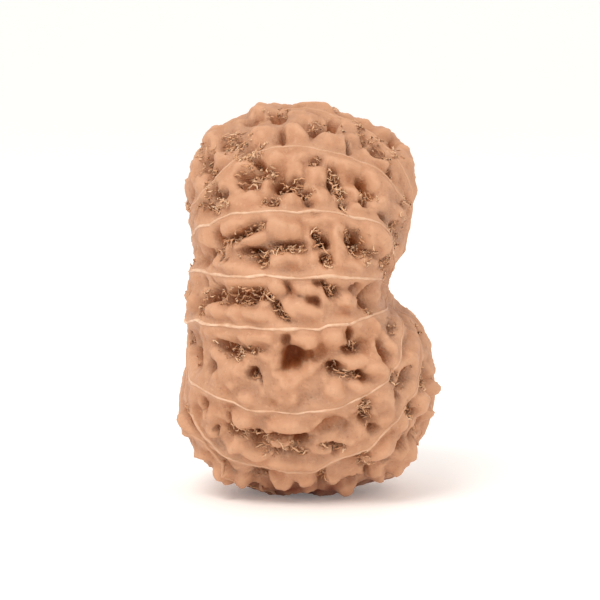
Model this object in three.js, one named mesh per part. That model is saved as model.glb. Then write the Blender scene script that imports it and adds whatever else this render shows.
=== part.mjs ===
// A rudraksha seed: the woody stone of the blue marble tree's fruit, cleaned of its flesh and standing on its
// narrower end. It grew as one body. Thin raised lines run round it from one stem end to the other, the two
// stem ends lie in dimples left and right, and the skin between the lines is a net of smooth knobs round deep
// pits. Sizes are in millimetres: +Z is up, +X is right and -Y is the front.
import * as THREE from "three";
import { mergeVertices } from "three/addons/utils/BufferGeometryUtils.js";

const SEED_COLOUR = 0xc18c6b;

// The shell under the relief. Its outline is seen from the front, as radii from MIDDLE every 15 degrees, which
// start at +X and turn towards +Z. SQUARENESS is the power of its rounded-box section.
const MIDDLE = new THREE.Vector3(-0.2, 0, 17);
const OUTLINE_RADII = [
  7.3, 7.1, 9.6, 12.8, 15.0, 15.8, 16.3, 16.3, 15.9, 14.1, 10.8, 10.0, //
  10.2, 10.2, 11.6, 14.8, 16.4, 16.9, 17.0, 16.7, 16.5, 14.6, 12.4, 10.25,
];
const HALF_DEPTH = 12;
const SQUARENESS = 2.2;

// The two stem ends. The raised lines run between them, and the mesh is a globe with its poles there.
const RIGHT_END = new THREE.Vector3(6.9, -2.2, 18.1);
const LEFT_END = new THREE.Vector3(-8.7, 7.2, 18.3);
const DIMPLES = [
  { at: RIGHT_END, along: 2.6, across: 1.7, depth: 0.4 },
  { at: LEFT_END, along: 3.2, across: 2.3, depth: 2.0 },
];
const STEM_PIT = { radius: 1.0, depth: 0.9 };

// The mesh: rows from line to line, and rings from stem end to stem end.
const ROW_STEP = 0.87; // between rows at their widest
const FEWEST_ROWS = 4; // from one line to the next
const GAP_TILTS = [1.1, 1.57, 2.04]; // radians, where the gap between two lines is measured
const RINGS = 51;
const ROW_CROWDING = 0.45; // how much closer the rows stand beside a raised line
const RING_CROWDING = 0.22; // how much closer the rings stand halfway between the stem ends

// The raised lines: a thin crest on a low broad welt.
const CREST = { height: 0.34, width: 0.17 };
const WELT = { height: 0.3, width: 0.75 };
const SINKS_AT_LINE = 0.8; // the share of a knob's height or a pit's depth that is lost under a line

// What the front shows is laid out on the plane y = 0 and carried to the shell from this point of view.
const EYE = new THREE.Vector3(-0.8, -208, 39);

// The eight lines of the front, from the top to the bottom, each as points [x, z].
const FRONT_LINES = [
  [[-3.0, 32.8], [-1.4, 32.9], [0.3, 32.9], [1.8, 32.5], [3.2, 31.9], [4.6, 31.3]],
  [[-9.3, 25.2], [-8.2, 26.6], [-6.8, 27.9], [-5.5, 28.7], [-4.0, 29.3], [-2.5, 29.6], [-0.5, 29.65],
    [1.0, 29.3], [3.0, 29.0], [4.0, 28.6], [5.3, 28.0], [6.1, 27.6], [6.8, 26.9], [7.7, 25.7], [8.5, 24.5]],
  [[-9.5, 22.7], [-8.2, 23.2], [-7.5, 23.7], [-6.5, 24.1], [-5.0, 24.15], [-3.5, 24.3], [-2.0, 24.35],
    [-0.8, 24.25], [0.5, 24.45], [1.5, 24.35], [3.0, 24.15], [4.0, 23.85], [5.0, 23.65], [6.0, 23.3],
    [6.6, 22.7], [7.0, 21.7]],
  [[-9.8, 19.2], [-9.0, 19.3], [-8.0, 19.0], [-6.5, 18.85], [-5.0, 18.85], [-3.5, 18.95], [-2.0, 18.8],
    [-0.5, 18.75], [1.0, 18.85], [2.0, 18.95], [3.5, 18.8], [4.8, 18.8], [6.2, 18.8]],
  [[-10.2, 15.25], [-9.5, 15.1], [-8.5, 14.75], [-7.0, 14.6], [-5.0, 14.5], [-3.0, 14.4], [-1.0, 14.4],
    [0.9, 14.4], [1.6, 14.75], [2.6, 14.8], [3.6, 14.85], [4.5, 15.3], [5.5, 15.7], [6.5, 16.1]],
  [[-9.9, 9.8], [-9.4, 9.4], [-8.5, 8.9], [-7.5, 8.4], [-6.3, 8.1], [-5.2, 7.5], [-4.5, 7.3], [-3.0, 7.3],
    [-1.0, 7.2], [0.0, 7.35], [1.6, 7.5], [2.5, 7.7], [3.5, 8.1], [4.5, 8.6], [5.5, 9.2], [6.5, 10.0],
    [7.1, 10.9], [7.6, 11.7], [7.75, 12.6], [7.8, 13.6]],
  [[-9.9, 6.9], [-9.3, 5.6], [-8.5, 4.7], [-7.5, 3.7], [-6.5, 3.15], [-5.5, 2.85], [-4.0, 2.5], [-3.0, 2.2],
    [-1.5, 2.1], [0.0, 2.1], [1.0, 2.4], [2.0, 2.9], [3.0, 3.4], [4.2, 3.8], [5.0, 4.1], [6.0, 5.1],
    [6.8, 5.9], [7.5, 6.6], [8.1, 7.5], [8.6, 8.3], [9.1, 9.4]],
  [[-8.9, 4.6], [-8.2, 3.7], [-7.3, 2.8], [-6.6, 1.95], [0.0, -0.02], [4.0, 0.76], [8.0, 2.6]],
];
const HIDDEN_LINES = 7; // evenly spread round the back
const HIDDEN_LINES_FROM = -1.92; // the first one's turn, in radians, just past the front's last line
const HIDDEN_LINES_STEP = -0.36;
const HIDDEN_LINE_SWAY = 0.035; // radians

// Knobs and pits of the front, row by row down the seed: [x, z, half length, half width, turn in degrees from
// +X, strength as a share of KNOB_HEIGHT or PIT_DEPTH].
const KNOB_HEIGHT = 1.6;
const PIT_DEPTH = 1.6;
const FINEST = 0.82; // a mark narrower than this is laid out this wide, and lower or shallower for it
const FRONT_KNOBS = [
  // over the first line and down to the second
  [-4.2, 33.1, 1.0, 0.8, 0, 0.75], [-0.6, 32.3, 1.3, 0.9, -20, 0.3], [0.3, 33.6, 1.7, 0.5, -4, 0.65],
  [3.4, 31.3, 0.7, 1.0, 0, 0.2], [4.7, 32.1, 0.8, 0.5, -30, 0.3], [-3.8, 30.6, 1.1, 0.75, -10, 0.6],
  [-1.1, 30.7, 1.0, 0.8, -10, 0.6], [2.0, 30.3, 1.3, 0.85, 20, 0.45], [-8.3, 30.8, 1.3, 1.0, 30, 0.3],
  [-6.0, 31.8, 1.7, 0.7, 5, 0.35], [6.1, 30.8, 1.0, 0.45, -15, 0.4], [8.0, 28.8, 0.9, 1.5, 10, 0.45],
  [5.6, 28.8, 1.5, 0.5, -10, 0.3], [-6.9, 29.1, 1.2, 0.6, 20, 0.4], [-9.7, 28.3, 0.5, 1.4, -8, 0.25],
  // under the second line
  [-1.0, 29.1, 0.9, 0.55, 0, 0.35], [-2.6, 29.0, 0.9, 0.5, 5, 0.3], [3.0, 28.4, 1.6, 0.55, -15, 0.5],
  [6.0, 27.0, 1.5, 0.8, -40, 0.5], [6.2, 25.4, 0.8, 1.1, 0, 0.35], [-5.8, 28.2, 1.0, 0.45, -10, 0.3],
  [-6.8, 27.1, 1.0, 0.9, 0, 0.45], [-9.2, 26.6, 0.9, 0.7, 35, 0.3], [-5.4, 25.3, 1.7, 0.6, 0, 0.45],
  [-3.5, 26.5, 0.5, 0.9, 0, 0.35], [-1.2, 27.9, 0.7, 0.7, 0, 0.4], [0.7, 27.2, 0.8, 0.9, 0, 0.5],
  [0.9, 25.6, 0.85, 0.75, 0, 0.5], [-1.3, 25.3, 1.1, 0.55, 0, 0.45], [3.9, 26.0, 0.65, 0.7, 0, 0.25],
  [4.4, 24.6, 1.0, 0.4, 5, 0.3], [8.6, 26.0, 0.6, 0.8, 0, 0.35], [7.6, 24.1, 0.7, 0.7, 0, 0.2],
  // under the third line
  [-6.4, 23.2, 1.3, 0.65, 12, 0.55], [-2.3, 23.1, 1.35, 1.15, 0, 0.65], [-4.5, 22.0, 1.3, 0.42, 18, 0.5],
  [-8.8, 22.3, 0.75, 1.1, -8, 0.4], [1.5, 23.7, 1.6, 0.4, 0, 0.35], [2.6, 21.8, 0.65, 1.9, 3, 0.5],
  [0.1, 22.0, 0.4, 1.0, 0, 0.25], [5.9, 22.3, 1.3, 0.9, -45, 0.6], [7.6, 21.0, 0.6, 0.8, -20, 0.3],
  [-6.6, 19.8, 1.9, 0.5, 0, 0.45], [-1.7, 20.1, 1.7, 0.65, 0, 0.5], [0.3, 20.4, 0.6, 0.5, 0, 0.3],
  [4.6, 19.7, 1.4, 0.5, 0, 0.25], [-9.3, 20.3, 0.6, 0.7, 0, 0.2],
  // under the fourth line
  [-9.7, 18.2, 0.7, 0.8, 0, 0.4], [-5.5, 18.4, 2.2, 0.35, 0, 0.25], [-2.7, 18.0, 0.7, 0.8, 0, 0.4],
  [-0.3, 17.8, 1.1, 0.6, -15, 0.45], [3.4, 18.3, 1.3, 0.4, 0, 0.25], [7.2, 18.1, 0.75, 0.7, 0, 0.55],
  [7.4, 17.8, 0.7, 0.6, 0, 0.7], [5.5, 17.3, 0.7, 1.0, 0, 0.4], [3.4, 16.7, 1.1, 0.7, -30, 0.5],
  [-0.6, 15.9, 1.6, 0.85, -15, 0.5], [-7.5, 15.8, 1.5, 0.6, 0, 0.45], [-4.4, 15.5, 1.5, 0.55, -3, 0.5],
  [-9.9, 16.7, 0.6, 0.8, 0, 0.3],
  // under the fifth line
  [-4.6, 13.6, 1.3, 0.5, 0, 0.3], [-3.4, 13.6, 0.55, 0.5, 0, 0.4], [-0.2, 13.4, 1.2, 0.75, 0, 0.65],
  [2.1, 13.5, 0.9, 0.9, 0, 0.35], [5.0, 14.4, 1.1, 0.8, 10, 0.35], [6.9, 13.1, 0.4, 1.1, 20, 0.3],
  [9.0, 11.9, 1.0, 1.2, 20, 0.45], [4.1, 11.6, 1.2, 0.55, 5, 0.5], [5.9, 10.9, 0.8, 1.1, 20, 0.4],
  [4.4, 9.5, 0.9, 0.6, -15, 0.5], [2.3, 8.9, 0.8, 0.85, 0, 0.4], [0.3, 10.8, 1.6, 0.35, 33, 0.3],
  [-2.5, 10.2, 0.9, 0.35, -35, 0.25], [-1.9, 8.6, 1.0, 1.1, 0, 0.35], [-5.2, 8.4, 0.6, 0.55, 0, 0.45],
  [-3.4, 11.3, 1.0, 0.9, 0, 0.2], [-8.2, 13.9, 1.4, 0.6, 0, 0.2], [-6.7, 10.8, 1.2, 0.8, 0, 0.2],
  // under the sixth line
  [-8.3, 7.2, 0.9, 1.0, -30, 0.2], [-5.7, 6.6, 0.95, 0.85, 0, 0.45], [-1.3, 6.25, 2.1, 0.9, 2, 0.65],
  [3.4, 7.2, 1.0, 0.5, 15, 0.3], [6.6, 8.6, 1.0, 1.2, 20, 0.35], [6.9, 7.0, 0.5, 1.1, -25, 0.25],
  [-5.5, 3.8, 1.9, 0.5, -15, 0.4], [-2.3, 4.45, 0.9, 0.25, 5, 0.25], [-1.5, 2.55, 2.3, 0.4, 0, 0.4],
  [3.9, 5.0, 1.1, 0.6, 20, 0.2], [-8.2, 5.6, 0.8, 0.6, -40, 0.2],
  // under the seventh line, and the feet
  [6.2, 3.9, 1.5, 0.6, 50, 0.6], [8.3, 3.7, 1.1, 0.9, 50, 0.55], [2.8, 1.8, 1.5, 0.8, 40, 0.5],
  [7.8, 6.1, 0.9, 0.6, 50, 0.45], [9.5, 8.0, 0.5, 0.9, -15, 0.45], [10.3, 6.8, 0.5, 0.9, -10, 0.5],
  [10.4, 11.0, 0.4, 1.2, 0, 0.3], [10.8, 9.0, 0.55, 0.55, 0, 0.9], [-10.7, 5.7, 0.7, 0.65, 0, 0.8],
  [-9.3, 3.7, 0.8, 0.8, 0, 0.4], [-7.2, 1.4, 0.8, 0.65, 0, 0.8], [-5.6, 1.4, 0.7, 0.6, 0, 0.5],
  [-2.2, 1.2, 1.0, 0.8, 0, 0.5], [-0.2, 1.4, 0.75, 0.6, 0, 0.5], [6.0, 1.8, 0.8, 0.6, 10, 0.6],
  [7.3, 2.3, 0.8, 0.55, 20, 0.55], [3.3, 0.5, 1.0, 0.45, 15, 0.6],
];
const FRONT_PITS = [
  // over the first line and down to the second
  [-2.6, 32.6, 0.8, 0.65, 20, 0.7], [-0.9, 33.4, 0.6, 0.18, -5, 0.4], [-4.5, 32.1, 1.0, 0.15, 0, 0.35],
  [-2.1, 30.7, 0.18, 0.6, 0, 0.5], [-0.6, 31.2, 0.9, 0.15, -28, 0.4], [1.3, 31.5, 0.9, 0.45, 35, 1.1],
  [2.2, 32.0, 0.5, 0.5, 0, 0.9], [3.4, 32.2, 1.2, 0.18, -33, 0.4], [4.7, 30.8, 0.3, 0.8, 10, 0.4],
  [5.4, 29.6, 0.5, 0.5, 0, 0.8], [6.2, 29.6, 0.6, 0.4, 0, 0.55], [7.0, 29.8, 0.4, 0.4, -20, 0.7],
  [3.3, 29.7, 0.25, 0.7, 8, 0.5], [-6.2, 30.1, 0.75, 0.25, 50, 0.55], [-7.2, 30.1, 0.5, 0.5, 0, 0.4],
  [-8.6, 28.5, 0.5, 0.7, -8, 0.75], [-8.4, 27.5, 0.5, 0.3, -40, 0.4], [7.0, 27.5, 0.2, 0.6, 10, 0.6],
  [8.25, 25.2, 0.3, 0.35, 0, 0.6], [8.4, 24.4, 0.5, 0.15, -60, 0.4],
  // under the second line
  [-5.0, 29.1, 0.8, 0.35, 10, 0.6], [-4.2, 28.5, 0.8, 0.4, -50, 0.8], [-4.6, 27.55, 1.5, 0.32, 4, 0.8],
  [-5.1, 26.7, 0.9, 0.5, -15, 0.75], [-8.0, 26.0, 0.35, 0.6, -15, 0.9], [-7.3, 25.8, 0.5, 0.3, 10, 0.5],
  [-2.4, 26.9, 0.5, 0.55, 0, 1.1], [-1.1, 26.8, 0.8, 0.6, 15, 0.9], [-0.3, 25.9, 0.85, 0.3, -5, 0.7],
  [-3.0, 25.2, 0.6, 0.32, 20, 0.5], [0.1, 25.0, 0.35, 0.3, 0, 0.5], [0.7, 28.5, 0.5, 0.4, 20, 0.35],
  [2.1, 27.8, 0.5, 0.32, -10, 0.65], [1.9, 26.9, 0.25, 1.0, 6, 0.7], [2.5, 26.9, 0.35, 0.8, 8, 0.6],
  [2.8, 25.8, 0.5, 0.2, 5, 0.7], [3.0, 24.8, 0.4, 0.3, 0, 0.6], [4.7, 26.5, 0.45, 0.75, 18, 1.1],
  [5.2, 25.7, 0.5, 0.35, 0, 0.9], [4.7, 25.0, 0.4, 0.3, 10, 0.6], [-8.9, 24.8, 0.5, 0.4, 0, 0.4],
  [-10.0, 24.8, 0.2, 0.4, 10, 0.3],
  // under the third line
  [-5.5, 22.55, 1.6, 0.33, 17, 1.05], [-3.7, 23.2, 0.6, 0.2, 45, 0.4], [-7.6, 21.7, 0.35, 1.35, 8, 0.75],
  [-8.05, 20.6, 0.2, 0.5, 8, 0.8], [-4.8, 21.1, 1.35, 0.35, 3, 1.1], [-1.8, 21.5, 1.4, 0.33, 4, 0.7],
  [-3.9, 20.3, 0.7, 0.55, -20, 0.65], [-9.6, 20.6, 0.3, 0.4, 0, 0.25], [0.7, 22.4, 0.35, 0.35, 0, 0.8],
  [1.3, 21.75, 0.5, 0.55, 30, 1.2], [1.6, 20.2, 0.5, 0.6, 20, 0.75], [4.3, 21.6, 1.35, 0.75, -50, 1.15],
  [3.6, 22.7, 0.4, 0.4, 0, 0.7], [5.3, 20.7, 0.6, 0.3, -10, 0.8], [6.5, 20.3, 0.5, 0.22, 8, 0.9],
  [6.6, 19.4, 0.75, 0.3, -35, 1.0], [6.3, 23.8, 0.3, 0.25, 0, 0.6], [6.6, 22.8, 0.6, 0.14, -62, 0.45],
  [7.5, 23.0, 0.5, 0.5, 0, 0.4], [7.6, 21.9, 0.2, 0.3, 0, 0.35],
  // under the fourth line
  [-8.75, 18.4, 0.14, 0.4, 10, 0.35], [-8.05, 18.5, 0.14, 0.4, -10, 0.35], [-10.0, 17.7, 0.25, 0.35, 0, 0.4],
  [-8.3, 17.2, 1.0, 0.6, 5, 0.85], [-6.4, 17.1, 1.1, 0.7, 0, 0.9], [-4.6, 17.2, 1.0, 0.6, 0, 0.9],
  [-3.6, 17.0, 0.35, 0.35, 0, 1.2], [-2.4, 15.8, 1.25, 0.4, -53, 0.85], [-9.35, 15.7, 0.16, 0.5, 0, 0.4],
  [-8.85, 15.6, 0.12, 0.4, 0, 0.35], [-1.75, 17.9, 0.75, 0.2, -65, 0.5], [0.9, 18.35, 0.65, 0.32, -15, 0.9],
  [1.7, 17.6, 0.9, 0.33, -55, 0.8], [2.35, 17.35, 0.3, 0.5, 0, 0.7], [0.5, 16.7, 0.7, 0.4, -25, 0.6],
  [4.0, 17.7, 0.42, 0.35, 0, 0.8], [4.75, 16.7, 0.75, 0.27, -60, 0.95], [5.1, 15.8, 0.4, 0.2, -15, 0.5],
  [6.0, 17.8, 0.3, 0.1, -25, 0.25],
  // under the fifth line
  [-7.1, 12.6, 1.25, 0.5, -12, 0.9], [-5.2, 12.5, 0.8, 0.25, 0, 0.4], [-1.5, 11.7, 0.95, 0.9, 0, 1.45],
  [-1.9, 13.3, 0.4, 0.7, 5, 0.8], [-1.5, 11.0, 0.75, 0.5, 0, 1.1], [-0.3, 11.9, 0.8, 0.45, 20, 0.8],
  [-8.4, 11.0, 0.35, 0.5, 20, 0.7], [-8.25, 10.75, 0.25, 0.25, 0, 1.0], [-4.8, 10.4, 0.5, 0.45, 45, 0.95],
  [-4.2, 10.0, 0.18, 0.4, 20, 0.6], [3.6, 14.0, 0.3, 0.8, 8, 0.85], [3.85, 12.6, 0.85, 0.5, 8, 0.95],
  [6.5, 12.2, 1.25, 0.4, -58, 0.65], [7.3, 14.6, 0.4, 0.5, 0, 0.65], [2.3, 10.9, 0.75, 0.55, 0, 1.1],
  [3.3, 10.4, 0.9, 0.22, -3, 0.8], [4.6, 10.25, 0.55, 0.33, -35, 0.85], [7.1, 10.4, 0.32, 0.6, -15, 0.7],
  // under the sixth line
  [-9.1, 8.0, 0.15, 0.7, 12, 0.3], [-10.2, 6.8, 0.3, 1.1, 12, 0.6], [-7.7, 5.35, 0.14, 0.28, 0, 0.35],
  [-6.2, 5.4, 1.0, 0.45, -8, 0.95], [-4.5, 4.75, 0.9, 0.6, -22, 1.25], [-2.3, 4.95, 1.9, 0.25, 0, 1.0],
  [-1.9, 3.6, 1.7, 0.4, -8, 0.65], [-6.6, 6.5, 0.25, 0.5, 20, 0.4], [-0.7, 4.4, 0.7, 0.4, 20, 0.95],
  [2.0, 5.9, 1.6, 0.6, 12, 0.4], [2.1, 4.2, 1.1, 0.33, -8, 0.65], [2.4, 3.7, 0.35, 0.45, 0, 0.6],
  [4.8, 8.25, 0.4, 0.22, 0, 0.6], [4.95, 7.1, 0.5, 0.8, 0, 0.6], [5.35, 7.35, 0.2, 0.25, 0, 0.8],
  [4.8, 6.4, 0.35, 0.35, 0, 0.8], [5.6, 5.6, 0.5, 0.38, 0, 0.95],
  // under the seventh line, and between the feet
  [8.3, 10.1, 0.85, 0.26, 45, 1.0], [9.6, 10.3, 0.25, 0.7, -10, 1.0], [8.6, 7.9, 0.22, 0.7, -22, 1.0],
  [8.95, 7.2, 0.25, 0.35, 0, 1.1], [9.6, 6.3, 0.4, 0.9, -25, 1.1], [8.5, 5.95, 0.45, 0.2, 60, 0.5],
  [4.7, 3.55, 0.5, 0.5, 0, 0.7], [4.95, 2.6, 0.6, 0.35, 0, 0.7], [6.6, 3.05, 0.3, 0.14, 15, 0.6],
  [7.6, 4.3, 0.9, 0.2, 55, 0.4], [-4.2, 1.5, 0.7, 0.7, 0, 0.9], [1.2, 1.5, 0.28, 0.7, -10, 0.75],
  [3.9, 1.3, 0.65, 0.28, 50, 0.8], [-6.6, 2.4, 0.7, 0.15, -50, 0.35], [5.1, 1.9, 0.3, 0.45, 10, 0.6],
];

// The knobs and pits that the front doesn't show are strewn evenly by a seeded draw, and lie along the lines.
const HIDDEN = {
  seed: 108,
  tries: 5000,
  knobFacing: -0.12, // a knob's or pit's place is hidden where its skin faces the eye by less than this
  pitFacing: 0.22,
  knobGap: 2.35, // between the middles of two knobs
  pitGap: 2.2,
  knobToPit: 1.15,
  knobToLine: 0.75,
  pitToLine: 0.9,
  pitToBase: 0.8, // keeps the resting spot whole
  knobLength: [0.75, 1.7],
  knobWidth: [0.7, 1.1],
  knobStrength: [0.16, 0.4],
  pitLength: [0.5, 1.35],
  pitWidth: [0.3, 0.65],
  pitStrength: [0.55, 1.2],
  turn: 35, // degrees either way from the run of the lines
};

// How far a knob or pit reaches past its half length and half width, and how neighbours blend.
const KNOB_REACH = 1.3;
const KNOB_ROUNDNESS = 1.4; // lower is blunter
const PIT_REACH = 1.45;
const PIT_ROUNDNESS = 1.7;
const KNOB_BLEND = 4;
const PIT_BLEND = 3;
const EDGE_WOBBLE = 0.16; // how ragged a pit's edge is, as a share of its size
const SWELL = 0.2; // low unevenness of the whole shell

const WIDEST_STRETCH = 2; // a mark near the outline is foreshortened, and is lengthened by at most this
const CENTRE_SHIFT = new THREE.Vector3(0.06, -0.07, -0.45); // brings the middle of the footprint to the origin

function seededDraw(seed) {
  let state = seed;
  return (low = 0, high = 1) => {
    state = (state + 0x6d2b79f5) | 0;
    let t = Math.imul(state ^ (state >>> 15), 1 | state);
    t = (t + Math.imul(t ^ (t >>> 7), 61 | t)) ^ t;
    return low + ((high - low) * ((t ^ (t >>> 14)) >>> 0)) / 4294967296;
  };
}

// The outline's radius at an angle, on a smooth closed curve through OUTLINE_RADII.
function outlineRadius(angle) {
  const count = OUTLINE_RADII.length;
  const place = ((angle / (2 * Math.PI)) * count + count) % count;
  const i = Math.floor(place);
  const t = place - i;
  const [a, b, c, d] = [-1, 0, 1, 2].map((k) => OUTLINE_RADII[(i + k + count) % count]);
  return b + 0.5 * t * (c - a + t * (2 * a - 5 * b + 4 * c - d + t * (3 * (b - c) + d - a)));
}

// 1 on the shell, less inside it and more outside.
function shellLevel(p) {
  const x = p.x - MIDDLE.x;
  const z = p.z - MIDDLE.z;
  const flat = Math.hypot(x, z) / outlineRadius(Math.atan2(z, x));
  const deep = Math.abs(p.y - MIDDLE.y) / HALF_DEPTH;
  return (flat ** SQUARENESS + deep ** SQUARENESS) ** (1 / SQUARENESS);
}

function shellNormal(p) {
  const step = 0.05;
  const slope = (axis) => {
    const ahead = p.clone();
    const behind = p.clone();
    ahead[axis] += step;
    behind[axis] -= step;
    return shellLevel(ahead) - shellLevel(behind);
  };
  return new THREE.Vector3(slope("x"), slope("y"), slope("z")).normalize();
}

// The point of the shell on the way from a point inside to one outside.
function shellBetween(inside, outside) {
  let [low, high] = [0, 1];
  const p = new THREE.Vector3();
  for (let i = 0; i < 40; i++) {
    const middle = (low + high) / 2;
    p.lerpVectors(inside, outside, middle);
    if (shellLevel(p) < 1) low = middle;
    else high = middle;
  }
  return p;
}

// The shell's nearest point to the eye behind the front's (x, z), or its outline's where that is outside it.
function frontPoint(x, z) {
  const mark = new THREE.Vector3(x, 0, z);
  const level = shellLevel(mark);
  if (level > 0.985) mark.sub(MIDDLE).multiplyScalar(0.985 / level).add(MIDDLE);
  return shellBetween(mark, EYE);
}

// The same for a raised line's point, which goes round to the far side where it is outside the outline.
function linePoint(x, z) {
  const mark = new THREE.Vector3(x, 0, z);
  const level = shellLevel(mark);
  if (level <= 1) return frontPoint(x, z);
  mark.sub(MIDDLE).multiplyScalar((2 - level) / level).add(MIDDLE);
  return shellBetween(mark, mark.clone().multiplyScalar(2).sub(EYE));
}

// The globe's own frame: AXIS points to the right stem end, and a place's turn about it is 0 to the front and
// grows towards the top.
const CORE = RIGHT_END.clone().add(LEFT_END).multiplyScalar(0.5);
const AXIS = RIGHT_END.clone().sub(LEFT_END).normalize();
const UP = new THREE.Vector3(0, 0, 1);
const FORWARD = new THREE.Vector3().crossVectors(AXIS, UP).normalize();

function distanceToAxis(p) {
  return p.clone().sub(CORE).cross(AXIS).length();
}

function toGlobe(p) {
  const d = p.clone().sub(CORE).normalize();
  return { tilt: Math.acos(d.dot(AXIS)), turn: Math.atan2(d.dot(UP), d.dot(FORWARD)) };
}

function fromGlobe(tilt, turn) {
  const far = AXIS.clone()
    .multiplyScalar(Math.cos(tilt))
    .addScaledVector(FORWARD, Math.sin(tilt) * Math.cos(turn))
    .addScaledVector(UP, Math.sin(tilt) * Math.sin(turn))
    .multiplyScalar(40)
    .add(CORE);
  return shellBetween(CORE, far);
}

// Each raised line is a function from tilt to turn. They are listed from the first front line downwards and
// on round the back.
function makeLines() {
  const front = FRONT_LINES.map((points) => {
    const run = points.map(([x, z]) => toGlobe(linePoint(x, z))).sort((a, b) => a.tilt - b.tilt);
    return (tilt) => {
      const i = run.findIndex((q) => q.tilt > tilt);
      if (i === 0) return run[0].turn;
      if (i === -1) return run[run.length - 1].turn;
      const share = (tilt - run[i - 1].tilt) / (run[i].tilt - run[i - 1].tilt);
      return run[i - 1].turn + share * (run[i].turn - run[i - 1].turn);
    };
  });
  const hidden = Array.from({ length: HIDDEN_LINES }, (_, i) => {
    const turn = HIDDEN_LINES_FROM + i * HIDDEN_LINES_STEP;
    return (tilt) => turn + HIDDEN_LINE_SWAY * Math.sin(3 * tilt + 2.4 * i);
  });
  return [...front, ...hidden];
}

// A knob or pit on the shell: its centre, its own two directions and its reach along each.
function makeMark(at, along, across, length, width, strength) {
  const [longer, wider] = [Math.max(length, FINEST), Math.max(width, FINEST)];
  const share = Math.sqrt((length * width) / (longer * wider));
  return { at, along, across, length: longer, width: wider, strength: strength * share };
}

function frontMark([x, z, length, width, degrees, strength]) {
  const at = frontPoint(x, z);
  const normal = shellNormal(at);
  const angle = THREE.MathUtils.degToRad(degrees);
  const seen = new THREE.Vector3(Math.cos(angle), 0, Math.sin(angle));
  const along = seen.clone().addScaledVector(normal, -seen.dot(normal)).normalize();
  const across = new THREE.Vector3().crossVectors(along, normal);
  const seenAcross = new THREE.Vector3(-Math.sin(angle), 0, Math.cos(angle));
  const stretch = (v, w) => 1 / Math.max(1 / WIDEST_STRETCH, Math.abs(v.dot(w)));
  const halfLength = length * stretch(seen, along);
  const halfWidth = width * stretch(seenAcross, across);
  return makeMark(at, along, across, halfLength, halfWidth, strength);
}

function hiddenMark(at, degrees, length, width, strength) {
  const normal = shellNormal(at);
  const run = AXIS.clone().addScaledVector(normal, -AXIS.dot(normal)).normalize();
  const along = run.applyAxisAngle(normal, THREE.MathUtils.degToRad(degrees));
  return makeMark(at, along, new THREE.Vector3().crossVectors(along, normal), length, width, strength);
}

function isHidden(p, limit) {
  return shellNormal(p).dot(EYE.clone().sub(p).normalize()) < limit;
}

// How far p, which lies at that tilt and turn, is from the nearest raised line.
function gapToLines(p, tilt, turn, lines) {
  const gaps = lines.map((line) => {
    const apart = turn - line(tilt);
    return Math.abs(apart - 2 * Math.PI * Math.round(apart / (2 * Math.PI)));
  });
  return Math.min(...gaps) * distanceToAxis(p);
}

function makeHiddenMarks(lines, frontKnobs, frontPits) {
  const draw = seededDraw(HIDDEN.seed);
  const knobs = [];
  const pits = [];
  const clear = (p, marks, gap) => marks.every((mark) => mark.at.distanceTo(p) > gap);
  for (let i = 0; i < HIDDEN.tries; i++) {
    const asKnob = i % 2 === 0;
    const tilt = Math.acos(draw(-1, 1));
    const turn = draw(-Math.PI, Math.PI);
    const p = fromGlobe(tilt, turn);
    const sizes = [draw(), draw(), draw(), draw(-HIDDEN.turn, HIDDEN.turn)];
    const lineGap = gapToLines(p, tilt, turn, lines);
    const knobRoom = clear(p, [...frontKnobs, ...knobs], asKnob ? HIDDEN.knobGap : HIDDEN.knobToPit);
    const pitRoom = clear(p, [...frontPits, ...pits], asKnob ? HIDDEN.knobToPit : HIDDEN.pitGap);
    const lineRoom = lineGap > (asKnob ? HIDDEN.knobToLine : HIDDEN.pitToLine);
    const baseRoom = asKnob || p.z > HIDDEN.pitToBase;
    const facing = asKnob ? HIDDEN.knobFacing : HIDDEN.pitFacing;
    if (!knobRoom || !pitRoom || !lineRoom || !baseRoom || !isHidden(p, facing)) continue;
    const within = ([low, high], share) => low + (high - low) * share;
    if (asKnob) {
      const length = within(HIDDEN.knobLength, sizes[0]);
      const width = within(HIDDEN.knobWidth, sizes[1]);
      knobs.push(hiddenMark(p, sizes[3], length, width, within(HIDDEN.knobStrength, sizes[2])));
    } else {
      const length = within(HIDDEN.pitLength, sizes[0]);
      const width = within(HIDDEN.pitWidth, sizes[1]);
      pits.push(hiddenMark(p, sizes[3], length, width, within(HIDDEN.pitStrength, sizes[2])));
    }
  }
  return { knobs, pits };
}

// How far p is from a mark's centre: 1 at the rim of its oval.
function ovalDistance(p, mark) {
  const d = p.clone().sub(mark.at);
  return Math.hypot(d.dot(mark.along) / mark.length, d.dot(mark.across) / mark.width);
}

function wobble(p) {
  const { x, y, z } = p;
  return (Math.sin(3.1 * x + 1.7 * y) + Math.sin(2.7 * y - 3.7 * z) + Math.sin(4.3 * z + 2.9 * x)) / 3;
}

function swell(p) {
  const { x, y, z } = p;
  return (Math.sin(0.9 * x + 0.7 * z) + Math.sin(0.8 * z - 1.1 * y) + Math.sin(0.6 * y + 1.2 * x)) / 3;
}

function blend(values, power) {
  return values.reduce((sum, v) => sum + v ** power, 0) ** (1 / power);
}

function knobHeightAt(p, knobs) {
  const heights = knobs.map((knob) => {
    const q = ovalDistance(p, knob) / KNOB_REACH;
    return q < 1 ? knob.strength * (1 - q * q) ** KNOB_ROUNDNESS : 0;
  });
  return KNOB_HEIGHT * blend(heights, KNOB_BLEND);
}

function pitDepthAt(p, pits) {
  const ragged = 1 + EDGE_WOBBLE * wobble(p);
  const depths = pits.map((pit) => {
    const q = (ovalDistance(p, pit) * ragged) / PIT_REACH;
    return q < 1 ? pit.strength * (1 - q * q) ** PIT_ROUNDNESS : 0;
  });
  return PIT_DEPTH * blend(depths, PIT_BLEND);
}

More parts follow.
